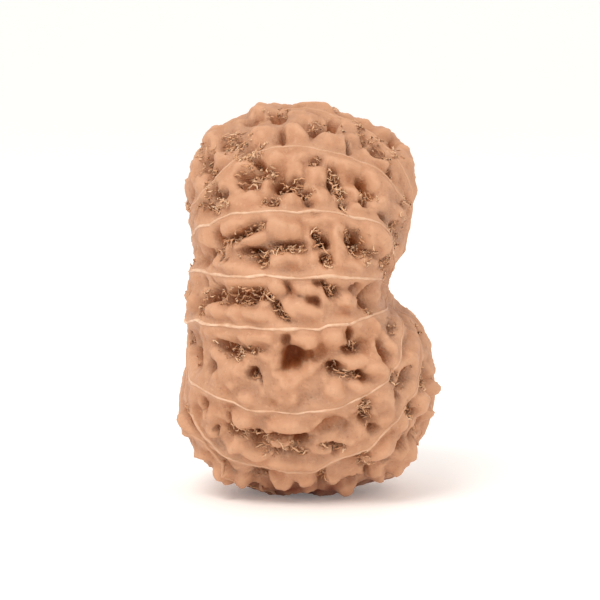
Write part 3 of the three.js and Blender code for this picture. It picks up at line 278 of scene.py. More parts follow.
# Where dried fibres show in the front's pits: [x, z, half length, half width, turn, how many].
FRONT_FIBRES = [
    # over the first line and down to the second
    [-2.6, 32.6, 0.9, 0.4, 25, 12], [1.6, 31.6, 1.1, 0.6, 35, 20], [3.0, 32.4, 1.0, 0.2, -30, 8],
    [4.2, 31.6, 0.9, 0.3, -45, 8], [4.8, 30.7, 0.5, 0.5, 0, 8], [6.1, 29.7, 1.4, 0.5, -3, 20],
    [-6.8, 30.2, 1.3, 0.6, 10, 24], [-8.4, 27.6, 0.6, 0.5, 0, 10], [-8.8, 28.7, 0.4, 0.9, 0, 14],
    [-5.9, 29.6, 1.3, 1.0, 30, 26], [6.95, 27.7, 0.6, 0.2, 80, 7],
    # under the second line
    [-4.6, 29.0, 1.2, 0.5, 65, 18], [-5.1, 28.8, 0.9, 0.3, -20, 8], [0.6, 28.6, 0.7, 0.4, 0, 10],
    [-4.4, 27.6, 1.7, 0.35, -3, 22], [-5.1, 26.8, 0.8, 0.4, -10, 8], [-3.2, 28.0, 0.5, 0.3, 0, 6],
    [-1.1, 26.8, 0.8, 0.45, 0, 14], [-8.3, 25.9, 0.7, 0.8, 0, 22], [-7.5, 24.9, 0.7, 0.4, 0, 12],
    [8.2, 25.3, 0.4, 0.4, 0, 8], [-9.0, 24.8, 0.4, 0.4, 0, 6],
    [-3.1, 25.2, 0.7, 0.45, 0, 12], [2.3, 27.1, 1.0, 0.4, -80, 22], [2.8, 25.5, 1.0, 0.3, -80, 18],
    [4.9, 25.7, 0.9, 0.5, -50, 18], [-0.2, 25.85, 0.7, 0.25, 0, 8], [-2.4, 26.9, 0.4, 0.4, 0, 5],
    # under the third line
    [-5.6, 22.5, 1.7, 0.35, 20, 26], [-3.8, 23.3, 0.6, 0.3, 40, 8], [-3.2, 21.1, 2.6, 0.35, 5, 38],
    [-3.9, 20.1, 0.6, 0.5, 0, 12], [-7.6, 21.5, 0.35, 1.1, 0, 16], [-9.4, 20.6, 0.5, 0.5, 0, 8],
    [0.7, 22.5, 0.4, 0.4, 0, 6], [1.4, 21.6, 0.5, 0.4, 0, 6], [1.5, 20.4, 0.8, 0.4, -65, 12],
    [4.4, 21.5, 1.5, 0.8, -45, 40], [7.6, 22.6, 1.1, 0.5, -60, 20], [6.3, 19.5, 0.7, 0.3, -35, 18],
    [5.4, 20.6, 0.6, 0.3, 0, 8], [7.0, 20.5, 0.8, 0.35, -50, 20],
    # under the fourth line
    [-6.6, 17.2, 2.9, 0.65, -2, 60], [-9.2, 15.8, 0.35, 0.5, 0, 8], [-2.4, 15.8, 1.2, 0.38, -52, 18],
    [-10.0, 17.7, 0.3, 0.4, 0, 5], [2.3, 17.4, 0.55, 0.3, -60, 8], [4.8, 16.2, 0.7, 0.3, -50, 8],
    [1.2, 18.1, 0.6, 0.3, -30, 5],
    # under the fifth line
    [-7.1, 12.6, 1.3, 0.5, -12, 22], [-5.0, 12.5, 0.9, 0.28, 0, 10], [4.0, 12.7, 0.6, 0.4, 0, 8],
    [7.3, 14.6, 0.5, 0.4, 0, 8], [3.6, 10.4, 1.3, 0.3, -5, 12], [7.15, 10.3, 0.6, 0.35, -50, 8],
    [9.9, 9.6, 0.4, 0.6, 0, 14], [8.3, 10.1, 0.9, 0.25, 45, 12], [-4.7, 10.3, 0.5, 0.4, 0, 6],
    [2.3, 10.8, 0.6, 0.4, 0, 5],
    # under the sixth line
    [4.9, 7.2, 0.4, 1.1, 0, 20], [-3.2, 3.8, 0.9, 0.4, 0, 14], [-1.0, 3.7, 1.2, 0.4, 0, 18],
    [-6.0, 5.3, 1.0, 0.45, -12, 16], [2.0, 4.1, 1.1, 0.35, -10, 14], [-2.0, 4.7, 2.0, 0.25, 0, 14],
    [-4.3, 4.8, 0.8, 0.4, -20, 8], [-10.2, 7.1, 0.35, 0.7, 0, 14],
    # under the seventh line
    [4.8, 3.1, 0.5, 0.8, 0, 20], [9.6, 6.3, 0.4, 0.9, -25, 24], [-4.2, 1.5, 0.6, 0.5, 0, 10],
    [1.2, 1.5, 0.4, 0.6, 0, 10], [9.6, 10.3, 0.3, 0.6, 0, 12], [8.7, 7.6, 0.3, 0.7, -20, 16],
]

# The knobs and pits that the front doesn't show, strewn evenly by a seeded draw: the same as in the solid.
HIDDEN_SEED = 108
HIDDEN_TRIES = 5000
HIDDEN_KNOB_FACING = -0.12  # to the eye, at most: 1 is straight at it, 0 is edge on
HIDDEN_PIT_FACING = 0.22
KNOB_GAP = 2.35
PIT_GAP = 2.2
KNOB_TO_PIT = 1.15
KNOB_TO_LINE = 0.75
PIT_TO_LINE = 0.9
PIT_TO_BASE = 0.8
HIDDEN_KNOB = ((0.75, 1.7), (0.7, 1.1), (0.16, 0.4))  # half length, half width, strength
HIDDEN_PIT = ((0.5, 1.35), (0.3, 0.65), (0.55, 1.2))
HIDDEN_TURN = 35.0  # degrees off the raised lines' direction, at most

# The fine skin is a cube whose sides are cut this often and rounded into the shell.
SKIN_CUTS = 127
SKIN_HALF_SIZES = np.array([10.5, 12.5, 17.0])
CREASE_ROUNDS = 14  # of evening out, which leave the creases to tell from the rest
HOLLOW_ROUNDS = 90
EVENING = 0.6


def seeded_draws(seed, count):
    """Numbers from 0 to 1, the same every time for a seed."""
    mask = 0xFFFFFFFF
    state = seed
    drawn = []
    for _ in range(count):
        state = (state + 0x6D2B79F5) & mask
        t = ((state ^ (state >> 15)) * (1 | state)) & mask
        t = ((t + ((t ^ (t >> 7)) * (61 | t))) & mask) ^ t
        drawn.append((t ^ (t >> 14)) / 2 ** 32)
    return np.array(drawn)


def smooth_step(x, low, high):
    t = np.clip((x - low) / (high - low), 0, 1)
    return t * t * (3 - 2 * t)


def unit(v):
    return v / np.linalg.norm(v, axis=-1, keepdims=True)


def outline_radius(angle):
    """The front outline's radius at an angle, on a smooth closed curve."""
    count = len(OUTLINE_RADII)
    place = (angle / (2 * math.pi) * count) % count
    i = np.floor(place).astype(int)
    t = place - i
    a, b, c, d = (OUTLINE_RADII[(i + k) % count] for k in (-1, 0, 1, 2))
    return b + 0.5 * t * (c - a + t * (2 * a - 5 * b + 4 * c - d + t * (3 * (b - c) + d - a)))


def shell_level(p):
    """1 on the shell, less inside it and more outside."""
    x, y, z = np.moveaxis(p - MIDDLE, -1, 0)
    flat = np.hypot(x, z) / outline_radius(np.arctan2(z, x))
    return (flat ** SQUARENESS + (np.abs(y) / HALF_DEPTH) ** SQUARENESS) ** (1 / SQUARENESS)


def shell_normal(p):
    slopes = []
    for axis in range(3):
        nudge = np.zeros(3)
        nudge[axis] = NORMAL_STEP
        slopes.append(shell_level(p + nudge) - shell_level(p - nudge))
    return unit(np.stack(slopes, axis=-1))


def shell_between(inside, outside):
    """The shell's point on the way from a point inside to one outside."""
    low = np.zeros(np.broadcast(inside[..., 0], outside[..., 0]).shape)
    high = np.ones_like(low)
    for _ in range(HALVINGS):
        middle = (low + high) / 2
        within = shell_level(inside + middle[..., None] * (outside - inside)) < 1
        low = np.where(within, middle, low)
        high = np.where(within, high, middle)
    return inside + low[..., None] * (outside - inside)


def front_point(x, z):
    """The shell's point that the eye sees at the front's (x, z), kept just inside the outline."""
    seen = np.array([x, 0.0, z])
    level = shell_level(seen)
    if level > FARTHEST_OUT:
        seen = MIDDLE + (seen - MIDDLE) * FARTHEST_OUT / level
    return shell_between(seen, EYE)


def line_point(x, z):
    """The same for a raised line's point, which goes round to the far side where it is past the outline."""
    seen = np.array([x, 0.0, z])
    level = shell_level(seen)
    if level <= 1:
        return front_point(x, z)
    seen = MIDDLE + (seen - MIDDLE) * (2 - level) / level
    return shell_between(seen, 2 * seen - EYE)


# The seed's own round frame: AXIS points to the right stem end, and a turn about it is 0 to the front.
CORE = (RIGHT_END + LEFT_END) / 2
AXIS = unit(RIGHT_END - LEFT_END)
UP = np.array([0.0, 0.0, 1.0])
FORWARD = unit(np.cross(AXIS, UP))


def distance_to_axis(p):
    return np.linalg.norm(np.cross(p - CORE, AXIS), axis=-1)


def tilt_and_turn(p):
    d = unit(p - CORE)
    return np.arccos(np.clip(d @ AXIS, -1, 1)), np.arctan2(d @ UP, d @ FORWARD)


def at_tilt_and_turn(tilt, turn):
    tilt, turn = (np.asarray(a)[..., None] for a in (tilt, turn))
    way = np.cos(tilt) * AXIS + np.sin(tilt) * (np.cos(turn) * FORWARD + np.sin(turn) * UP)
    return shell_between(CORE, CORE + BEYOND_SHELL * way)


def front_line(points):
    """A raised line of the front, as a function from tilt to turn."""
    run = np.array([tilt_and_turn(line_point(x, z)) for x, z in points])
    run = run[np.argsort(run[:, 0])]
    return lambda tilt: np.interp(tilt, run[:, 0], run[:, 1])


def hidden_line(i):
    turn = HIDDEN_LINES_FROM + i * HIDDEN_LINES_STEP
    return lambda tilt: turn + HIDDEN_LINE_SWAY * np.sin(HIDDEN_LINE_WAVES * tilt + HIDDEN_LINE_PHASE * i)


def raised_lines():
    return [front_line(points) for points in FRONT_LINES] + [hidden_line(i) for i in range(HIDDEN_LINES)]


def gap_to_lines(p, lines):
    """How far each point is from its nearest raised line."""
    tilt, turn = tilt_and_turn(p)
    nearest = np.full(len(p), math.pi)
    for line in lines:
        apart = turn - line(tilt)
        apart -= 2 * math.pi * np.round(apart / (2 * math.pi))
        nearest = np.minimum(nearest, np.abs(apart))
    return nearest * distance_to_axis(p)


def front_mark(x, z, length, width, degrees, strength):
    """A knob or pit of the front: its centre, two directions, its reach along each and its strength."""
    at = front_point(x, z)
    normal = shell_normal(at)
    angle = math.radians(degrees)
    seen = np.array([math.cos(angle), 0.0, math.sin(angle)])
    seen_across = np.array([-math.sin(angle), 0.0, math.cos(angle)])
    along = unit(seen - seen @ normal * normal)
    across = np.cross(along, normal)
    longer = 1 / max(1 / WIDEST_STRETCH, abs(seen @ along))
    wider = 1 / max(1 / WIDEST_STRETCH, abs(seen_across @ across))
    return at, along, across, length * longer, width * wider, strength


def hidden_mark(at, degrees, length, width, strength):
    """The same for one laid on the shell, turned some degrees off the raised lines' direction."""
    normal = shell_normal(at)
    run = unit(AXIS - AXIS @ normal * normal)
    angle = math.radians(degrees)
    along = math.cos(angle) * run + math.sin(angle) * np.cross(normal, run)
    return at, along, np.cross(along, normal), length, width, strength


def strew_hidden_marks(lines, front_knobs, front_pits):
    """Knobs and pits in turn at drawn places, each left out where it would be seen or crowd another mark."""
    draws = seeded_draws(HIDDEN_SEED, 6 * HIDDEN_TRIES).reshape(-1, 6)
    places = at_tilt_and_turn(np.arccos(2 * draws[:, 0] - 1), math.pi * (2 * draws[:, 1] - 1))
    gaps = gap_to_lines(places, lines)
    facing = np.sum(shell_normal(places) * unit(EYE - places), axis=-1)
    middles = [[mark[0] for mark in front_knobs], [mark[0] for mark in front_pits]]
    hidden = [[], []]
    for i, (p, draw) in enumerate(zip(places, draws)):
        is_pit = i % 2
        knob_room = KNOB_TO_PIT if is_pit else KNOB_GAP
        pit_room = PIT_GAP if is_pit else KNOB_TO_PIT
        line_room = PIT_TO_LINE if is_pit else KNOB_TO_LINE
        limit = HIDDEN_PIT_FACING if is_pit else HIDDEN_KNOB_FACING
        if facing[i] >= limit or gaps[i] <= line_room or (is_pit and p[2] <= PIT_TO_BASE):
            continue
        if np.linalg.norm(np.array(middles[0]) - p, axis=1).min() <= knob_room:
            continue
        if np.linalg.norm(np.array(middles[1]) - p, axis=1).min() <= pit_room:
            continue
        ranges = HIDDEN_PIT if is_pit else HIDDEN_KNOB
        sizes = [low + (high - low) * draw[2 + k] for k, (low, high) in enumerate(ranges)]
        hidden[is_pit].append(hidden_mark(p, HIDDEN_TURN * (2 * draw[5] - 1), *sizes))
        middles[is_pit].append(p)
    return hidden


def noise_places(p, size, seed):
    return [Vector(q) for q in (p / size + SEED_APART * seed).tolist()]


def noise_at(p, size, seed):
    """Smooth noise from -1 to 1 with lumps of about that size."""
    return np.array([noise.noise(q) for q in noise_places(p, size, seed)])


def moved_by_noise(p, rows):
    """Points each moved a little, by [how far, size of the lumps, seed]."""
    moved = p
    for how_far, size, seed in rows:
        moved = moved + how_far * np.array([noise.noise_vector(q) for q in noise_places(p, size, seed)])
    return moved


def cobbles_at(p, size, seed):
    """1 on the tops of rounded cells of about that size, 0 in the creases between them."""
    gaps = []
    for q in noise_places(p, size, seed):
        nearest = noise.voronoi(q)[0]
        gaps.append(nearest[1] - nearest[0])
    return smooth_step(np.array(gaps), *COBBLE_CREASE)


def oval_sum(p, marks, reach, profile, power):
    """The marks' shapes at each point, melted together."""
    total = np.zeros(len(p))
    for at, along, across, length, width, strength in marks:
        d = p - at
        near = np.flatnonzero((np.abs(d) < reach * max(length, width)).all(axis=1))
        d = d[near]
        q = np.hypot(d @ along / length, d @ across / width) / reach
        total[near] += (strength * profile(q)) ** power
    return total ** (1 / power)


def knob_profile(q):
    return np.clip(1 - q * q, 0, 1)


def pit_profile(q):
    return 1 - smooth_step(q, PIT_FLOOR, PIT_RIM)


def basin_profile(q):
    return 1 - smooth_step(q, 0.0, 1.0)


def dimple_depth(p):
    total = np.zeros(len(p))
    for at, along, across, depth in DIMPLES:
        d = p - at
        total += depth * np.exp(-(np.hypot(d[:, 0], d[:, 1]) / along) ** 2 - (d[:, 2] / across) ** 2)
        total += STEM_PIT_DEPTH * (1 - smooth_step(np.linalg.norm(d, axis=1), 0, STEM_PIT_RADIUS))
    return total


def swell(p):
    """Three crossing waves, from -1 to 1."""
    x, y, z = np.moveaxis(p, -1, 0)
    return (np.sin(0.9 * x + 0.7 * z) + np.sin(0.8 * z - 1.1 * y) + np.sin(0.6 * y + 1.2 * x)) / 3


class Relief:
    """What stands out of the shell and is sunk into it."""

    def __init__(self):
        self.lines = raised_lines()
        front_knobs = [front_mark(*row) for row in FRONT_KNOBS]
        front_pits = [front_mark(*row) for row in FRONT_PITS]
        hidden_knobs, self.hidden_pits = strew_hidden_marks(self.lines, front_knobs, front_pits)
        self.knobs = front_knobs + hidden_knobs + [front_mark(*row) for row in FINE_KNOBS]
        self.pits = front_pits + self.hidden_pits + [front_mark(*row) for row in FINE_PITS]

    def at(self, p):
        """The skin's height over the shell, the depth of its pits and how near the raised lines are."""
        fade = np.clip(distance_to_axis(p) / WELT_FADE, 0, 1)
        near_line = fade * np.exp(-(gap_to_lines(p, self.lines) / WELT_WIDTH) ** 2)
        warped = moved_by_noise(p, WARPS)
        ragged = moved_by_noise(p, RAGGED_EDGES)
        knobs = KNOB_HEIGHT * oval_sum(warped, self.knobs, KNOB_REACH, knob_profile, KNOB_MELT)
        pits = PIT_DEPTH * oval_sum(ragged, self.pits, PIT_REACH, pit_profile, PIT_MELT)
        basins = BASIN_DEPTH * oval_sum(warped, self.pits, BASIN_REACH, basin_profile, BASIN_MELT)
        webs = WEB_HEIGHT * (1 - WEB_NARROWING * np.abs(noise_at(warped, *WEBS)))
        cobbles = sum(tall * (cobbles_at(warped, size, seed) - COBBLE_LEVEL) for tall, size, seed in COBBLES)
        rough = np.clip(pits + BASIN_ROUGHNESS * basins, 0, 1) * (0.5 + 0.5 * noise_at(p, *ROUGH_PATCHES))
        wrinkles = sum((low + more * rough) * noise_at(p, size, seed) for low, more, size, seed in WRINKLES)
        calm = 1 - SINKS_AT_LINE * near_line
        height = SWELL_HEIGHT * swell(p) + (knobs - pits - basins + cobbles + webs - SKIN_SINKS) * calm
        height += wrinkles + WELT_HEIGHT * near_line - dimple_depth(p)
        return height, pits * calm, near_line


def pressed(past):
    return EDGE_ROOM * (1 - np.exp(-np.maximum(past, 0) / EDGE_ROOM))


def into_the_solid(p):
    """Brings points to the part's own frame, within the solid's box and with the flat spot at its bottom."""
    lowest, highest = (np.array(corner) / MM for corner in (CAD_BOX[0], CAD_BOX[1]))
    p = p + SHIFT
    low = lowest + np.array([EDGE_ROOM, EDGE_ROOM, 0])
    high = highest - EDGE_ROOM
    placed = np.clip(p, low, high) + pressed(p - high)
    placed[:, :2] -= pressed(low - p)[:, :2]
    return placed


def clear_selection():
    bpy.ops.object.select_all(action="DESELECT")


def set_attribute(mesh, name, values):
    attribute = mesh.attributes.new(name, "FLOAT", "POINT")
    attribute.data.foreach_set("value", np.asarray(values, np.float32))


def edit_all(operation, **settings):
    """Runs an operation of the edit mode on the whole of the active mesh."""
    bpy.ops.object.mode_set(mode="EDIT")
    bpy.ops.mesh.select_all(action="SELECT")
    operation(**settings)
    bpy.ops.object.mode_set(mode="OBJECT")


def add_object(name, data):
    thing = bpy.data.objects.new(name, data)
    bpy.context.scene.collection.objects.link(thing)
    return thing


def add_mesh(name, corners, faces):
    """A smooth mesh in the part's own frame, from corners in millimetres."""
    mesh = bpy.data.meshes.new(name)
    mesh.from_pydata((corners * MM).tolist(), [], faces)
    mesh.polygons.foreach_set("use_smooth", np.ones(len(faces), bool))
    mesh.update()
    return add_object(name, mesh)


def evened_out(values, mesh, rounds):
    """A value of each vertex, evened out over its neighbours."""
    ends = np.zeros(2 * len(mesh.edges), int)
    mesh.edges.foreach_get("vertices", ends)
    a, b = ends.reshape(-1, 2).T
    count = len(values)
    links = np.bincount(a, minlength=count) + np.bincount(b, minlength=count)
    for _ in range(rounds):
        total = np.bincount(a, values[b], count) + np.bincount(b, values[a], count)
        values = (1 - EVENING) * values + EVENING * total / links
    return values


def model_skin(relief):
    """A finely cut cube, rounded into the shell and raised by the relief."""
    clear_selection()
    bpy.ops.mesh.primitive_cube_add(size=2)
    skin = bpy.context.object
    skin.name = "seed_skin"
    edit_all(bpy.ops.mesh.subdivide, number_cuts=SKIN_CUTS)
    mesh = skin.data
    corners = np.zeros(3 * len(mesh.vertices))
    mesh.vertices.foreach_get("co", corners)
    ball = unit(np.tan(corners.reshape(-1, 3) * math.pi / 4))
    way = ball * SKIN_HALF_SIZES
    shell = MIDDLE + way / shell_level(MIDDLE + way)[:, None]
    height, pits, near_line = relief.at(shell)
    placed = into_the_solid(shell + height[:, None] * shell_normal(shell))
    mesh.vertices.foreach_set("co", (placed * MM).ravel())
    set_attribute(mesh, "pit", np.clip(pits / DEEPEST_PIT, 0, 1))
    set_attribute(mesh, "crease", evened_out(height, mesh, CREASE_ROUNDS) - height)
    set_attribute(mesh, "hollow", evened_out(height, mesh, HOLLOW_ROUNDS) - height)
    set_attribute(mesh, "near_line", near_line)
    mesh.update()
    bpy.ops.object.shade_smooth()
    return skin


# A raised line's section, across and up from the skin: a low crest with its foot sunk into the skin.
CREST_SECTION = np.array([
    [-0.20, -0.30], [-0.12, -0.02], [-0.065, 0.085], [0.0, 0.125], [0.065, 0.085],
    [0.12, -0.02], [0.20, -0.30],
])
CREST_STEPS = 520

# How large each line's crest is, as a multiple of the section, and how pale, from 0 to 1.
LINE_WEIGHTS = [0.55, 0.8, 1.0, 1.1, 1.1, 0.85, 0.85, 0.75] + [0.85] * HIDDEN_LINES
LINE_PALENESS = [0.1, 0.35, 0.8, 1.0, 1.0, 0.75, 0.5, 0.2] + [0.45] * HIDDEN_LINES

# Along a line, in radians of tilt: where its crest starts from each stem end, and where it is full.
CREST_STARTS = 0.10
CREST_IS_FULL = 0.55
THIN_END = 0.3
PALENESS_RISES = (0.2, 0.9)
WORN_STRETCH = (-0.1, 0.2)  # past the last of it that the front shows
WORN_OFF = 0.7

# How a crest wanders to the sides and swells and shrinks, by noise.
CREST_WANDER = 0.006  # radians of turn
CREST_WAVES = 9
CREST_SEED = 9
CREST_SIZE = 0.95
CREST_BUMPS = [[0.45, 1.6, 10], [0.25, 0.4, 11]]  # how much, size, seed


def crest_course(line, number, tilt):
    """A raised line's points on the shell, each line wandering in its own way."""
    along = np.stack([tilt * CREST_WAVES, tilt * 0 + number, tilt * 0], axis=-1)
    return at_tilt_and_turn(tilt, line(tilt) + CREST_WANDER * noise_at(along, 1.0, CREST_SEED))


def model_raised_lines(relief):
    """All the raised lines, each one a crest that follows the skin from stem end to stem end."""
    corners = []
    faces = []
    paleness = []
    count = len(CREST_SECTION)
    tilt = np.linspace(CREST_STARTS, math.pi - CREST_STARTS, CREST_STEPS)
    taper = smooth_step(np.minimum(tilt, math.pi - tilt), CREST_STARTS, CREST_IS_FULL)
    seen_to = [tilt_and_turn(line_point(*points[0]))[0] for points in FRONT_LINES] + [math.pi] * HIDDEN_LINES
    for number, line in enumerate(relief.lines):
        course = crest_course(line, number, tilt)
        normal = shell_normal(course)
        height = relief.at(course)[0]
        side = unit(np.cross(unit(np.gradient(course, axis=0)), normal))
        bumps = CREST_SIZE + sum(much * noise_at(course, size, seed) for much, size, seed in CREST_BUMPS)
        whole = 1 - WORN_OFF * smooth_step(tilt - seen_to[number], *WORN_STRETCH)
        scale = LINE_WEIGHTS[number] * bumps * (THIN_END + (1 - THIN_END) * taper) * (0.5 + 0.5 * whole)
        for across, up in CREST_SECTION:
            lift = height + up * (scale if up > 0 else 1)
            corners.append(course + (across * scale)[:, None] * side + lift[:, None] * normal)
            paleness.append(LINE_PALENESS[number] * smooth_step(tilt, *PALENESS_RISES) * whole)
        first = number * count * CREST_STEPS
        for k in range(count):
            here = first + k * CREST_STEPS + np.arange(CREST_STEPS - 1)
            there = first + (k + 1) % count * CREST_STEPS + np.arange(CREST_STEPS - 1)
            faces.append(np.stack([here, there, there + 1, here + 1], axis=-1))
    placed = into_the_solid(np.concatenate(corners))
    raised = add_mesh("raised_lines", placed, np.concatenate(faces).tolist())
    set_attribute(raised.data, "paleness", np.concatenate(paleness))
    return raised


# The dried fibres: how many lie in a pit, and how each is drawn, in millimetres, radians or shares.
FIBRE_SEED = 41
FIBRES_SHARE = 1.35  # of the counts in FRONT_FIBRES
HIDDEN_FIBRES = (3, 11)  # in a hidden pit, at least and at most
FIBRE_RINGS = 7
FIBRE_SIDES = 3
FIBRE_STRAY = 1.3  # of its patch's reach, before they crowd
FIBRE_CROWDING = 0.6  # under 1, they crowd towards the patch's edge
FIBRE_TURN = 0.8  # off the patch's long way
SHORTEST_FIBRE = 0.2
LONGEST_FIBRE = 1.1
LONG_FIBRES_RARE = 1.6
FIBRE_BEND = (0.4, 1.8)  # from end to end
SHORT_FIBRE_BEND = 0.9  # more, for the shortest
FIBRE_BULGE = (-0.3, 1.2)  # out of the skin, against a spread of 1 to the sides
FIBRE_THICKNESS = (0.05, 0.11)  # from its middle line out
FIBRE_CLEAR = 0.04  # of the skin
FIBRE_RISE = (0.02, 0.7)  # as a share of the depth that it lies in
DEPTH_FILLED = (0.1, 1.4)
FIBRE_JITTER = 0.06
FIBRE_RAGGED = (0.6, 1.3)
FIBRE_TIP = 0.35  # of its thickness
FIBRE_TAPER = 0.7
FIBRE_FLATNESS = 0.5
OFF_NORMAL = 0.01  # so that a fibre that stands upright has a side too


def strew_fibres(relief, draw):
    """Places and directions of the dried fibres, front and hidden."""
    fewest, most = HIDDEN_FIBRES
    patches = [front_mark(*row) for row in FRONT_FIBRES]
    patches += [(*pit[:5], draw.integers(fewest, most + 1)) for pit in relief.hidden_pits]
    starts = []
    runs = []
    for at, along, across, length, width, count in patches:
        for _ in range(int(count * FIBRES_SHARE)):
            reach = draw.uniform(0, FIBRE_STRAY) ** FIBRE_CROWDING
            way = draw.uniform(0, 2 * math.pi)
            starts.append(at + reach * (math.cos(way) * length * along + math.sin(way) * width * across))
            angle = draw.normal(0, FIBRE_TURN)
            runs.append(math.cos(angle) * along + math.sin(angle) * across)
    return np.array(starts), np.array(runs)


def fibre_faces(total):
    """The faces of all the fibres, where corner k of ring r of each lies in block r * FIBRE_SIDES + k."""
    each = np.arange(total)
    next_ring = FIBRE_SIDES * total
    walls = []
    for r in range(FIBRE_RINGS - 1):
        for k in range(FIBRE_SIDES):
            near = (r * FIBRE_SIDES + k) * total + each
            beside = (r * FIBRE_SIDES + (k + 1) % FIBRE_SIDES) * total + each
            walls.append(np.stack([near, beside, beside + next_ring, near + next_ring], axis=-1))
    caps = []
    for r, order in ((0, (2, 1, 0)), (FIBRE_RINGS - 1, (0, 1, 2))):
        caps.append(np.stack([(r * FIBRE_SIDES + k) * total + each for k in order], axis=-1))
    return np.concatenate(walls).tolist() + np.concatenate(caps).tolist()


def model_fibres(relief):
    """Short curled shreds of dried flesh that are caught in the pits."""
    draw = np.random.default_rng(FIBRE_SEED)
    starts, runs = strew_fibres(relief, draw)
    total = len(starts)
    starts = MIDDLE + (starts - MIDDLE) / shell_level(starts)[:, None]
    normal = shell_normal(starts)
    height = relief.at(starts)[0]
    run = unit(runs - np.sum(runs * normal, axis=1, keepdims=True) * normal)
    side = np.cross(run, normal)
    bulge = unit(draw.uniform(*FIBRE_BULGE, (total, 1)) * normal + draw.normal(0, 1, (total, 1)) * side)
    length = SHORTEST_FIBRE + (LONGEST_FIBRE - SHORTEST_FIBRE) * draw.uniform(0, 1, total) ** LONG_FIBRES_RARE
    bend = draw.uniform(*FIBRE_BEND, total) + SHORT_FIBRE_BEND * (1 - length / LONGEST_FIBRE)
    thickness = draw.uniform(*FIBRE_THICKNESS, total)
    lift = height + FIBRE_CLEAR + draw.uniform(*FIBRE_RISE, total) * np.clip(-height, *DEPTH_FILLED)
    radius = length / bend
    corners = []
    for step in np.linspace(-0.5, 0.5, FIBRE_RINGS):
        angle = bend * step
        forth = (radius * np.sin(angle))[:, None] * run
        out = (radius * (np.cos(angle) - np.cos(bend / 2)))[:, None] * bulge
        centre = starts + lift[:, None] * normal + forth + out
        centre += FIBRE_JITTER * draw.normal(0, 1, (total, 3))
        tangent = unit(np.cos(angle)[:, None] * run - np.sin(angle)[:, None] * bulge)
        one = unit(np.cross(tangent, normal + OFF_NORMAL))
        two = np.cross(tangent, one)
        full = FIBRE_TIP + (1 - FIBRE_TIP) * math.cos(math.pi * step) ** FIBRE_TAPER
        thin = (thickness * draw.uniform(*FIBRE_RAGGED, total) * full)[:, None]
        for k in range(FIBRE_SIDES):
            turn = 2 * math.pi * k / FIBRE_SIDES
            corners.append(centre + thin * (math.cos(turn) * one + FIBRE_FLATNESS * math.sin(turn) * two))
    fibres = add_mesh("dried_fibres", into_the_solid(np.concatenate(corners)), fibre_faces(total))
    set_attribute(fibres.data, "tone", np.tile(draw.uniform(0, 1, total), FIBRE_RINGS * FIBRE_SIDES))
    clear_selection()
    fibres.select_set(True)
    bpy.context.view_layer.objects.active = fibres
    edit_all(bpy.ops.mesh.normals_make_consistent, inside=False)
    return fibres


def linear(red, green, blue):
    """A colour given in 0 to 255 as on a screen, for a shader."""
    parts = [c / 255 for c in (red, green, blue)]
    return tuple(c / 12.92 if c <= 0.04045 else ((c + 0.055) / 1.055) ** 2.4 for c in parts) + (1.0,)


# The skin's colours: from the tops of the knobs down to the hollows, darkened there as painted shade, and from
# a pit's rim to its floor, the pits' own redder brown deepened there as painted shade.
SKIN_TONES_WITH_PAINTED_SHADE = [
    (0.0, linear(195, 141, 105)),
    (0.30, linear(188, 134, 98)),
    (0.55, linear(179, 124, 87)),
    (0.80, linear(173, 115, 74)),
    (1.0, linear(166, 103, 61)),
]
# The pits' own redder brown, darkened towards their floors as painted shade.
PIT_TONES_WITH_PAINTED_SHADE = [(0.5, linear(192, 115, 62)), (1.0, linear(158, 72, 24))]
# Painted shade: darker brown laid into the narrow creases.
PAINTED_CREASE_SHADE = linear(166, 95, 48)
DUST_TONE = linear(188, 146, 117)
SPECKLE_TONE = linear(140, 88, 58)
# Painted highlight: paler tan laid along the crests of the knobs.
PAINTED_RIDGE_HIGHLIGHT = linear(218, 168, 130)
WELT_TONE = linear(202, 154, 120)
FLECK_TONE = linear(218, 173, 138)
# Painted shade: dark brown laid close to the floor and between the feet.
PAINTED_UNDERSIDE_SHADE = linear(116, 49, 12)

PALE_LINE_TONE = linear(230, 195, 164)
WORN_LINE_TONE = linear(210, 164, 130)
DULL_LINE_TONE = linear(198, 149, 114)
FIBRE_TONES = [(0.0, linear(200, 143, 101)), (0.5, linear(220, 168, 126)), (1.0, linear(241, 202, 163))]


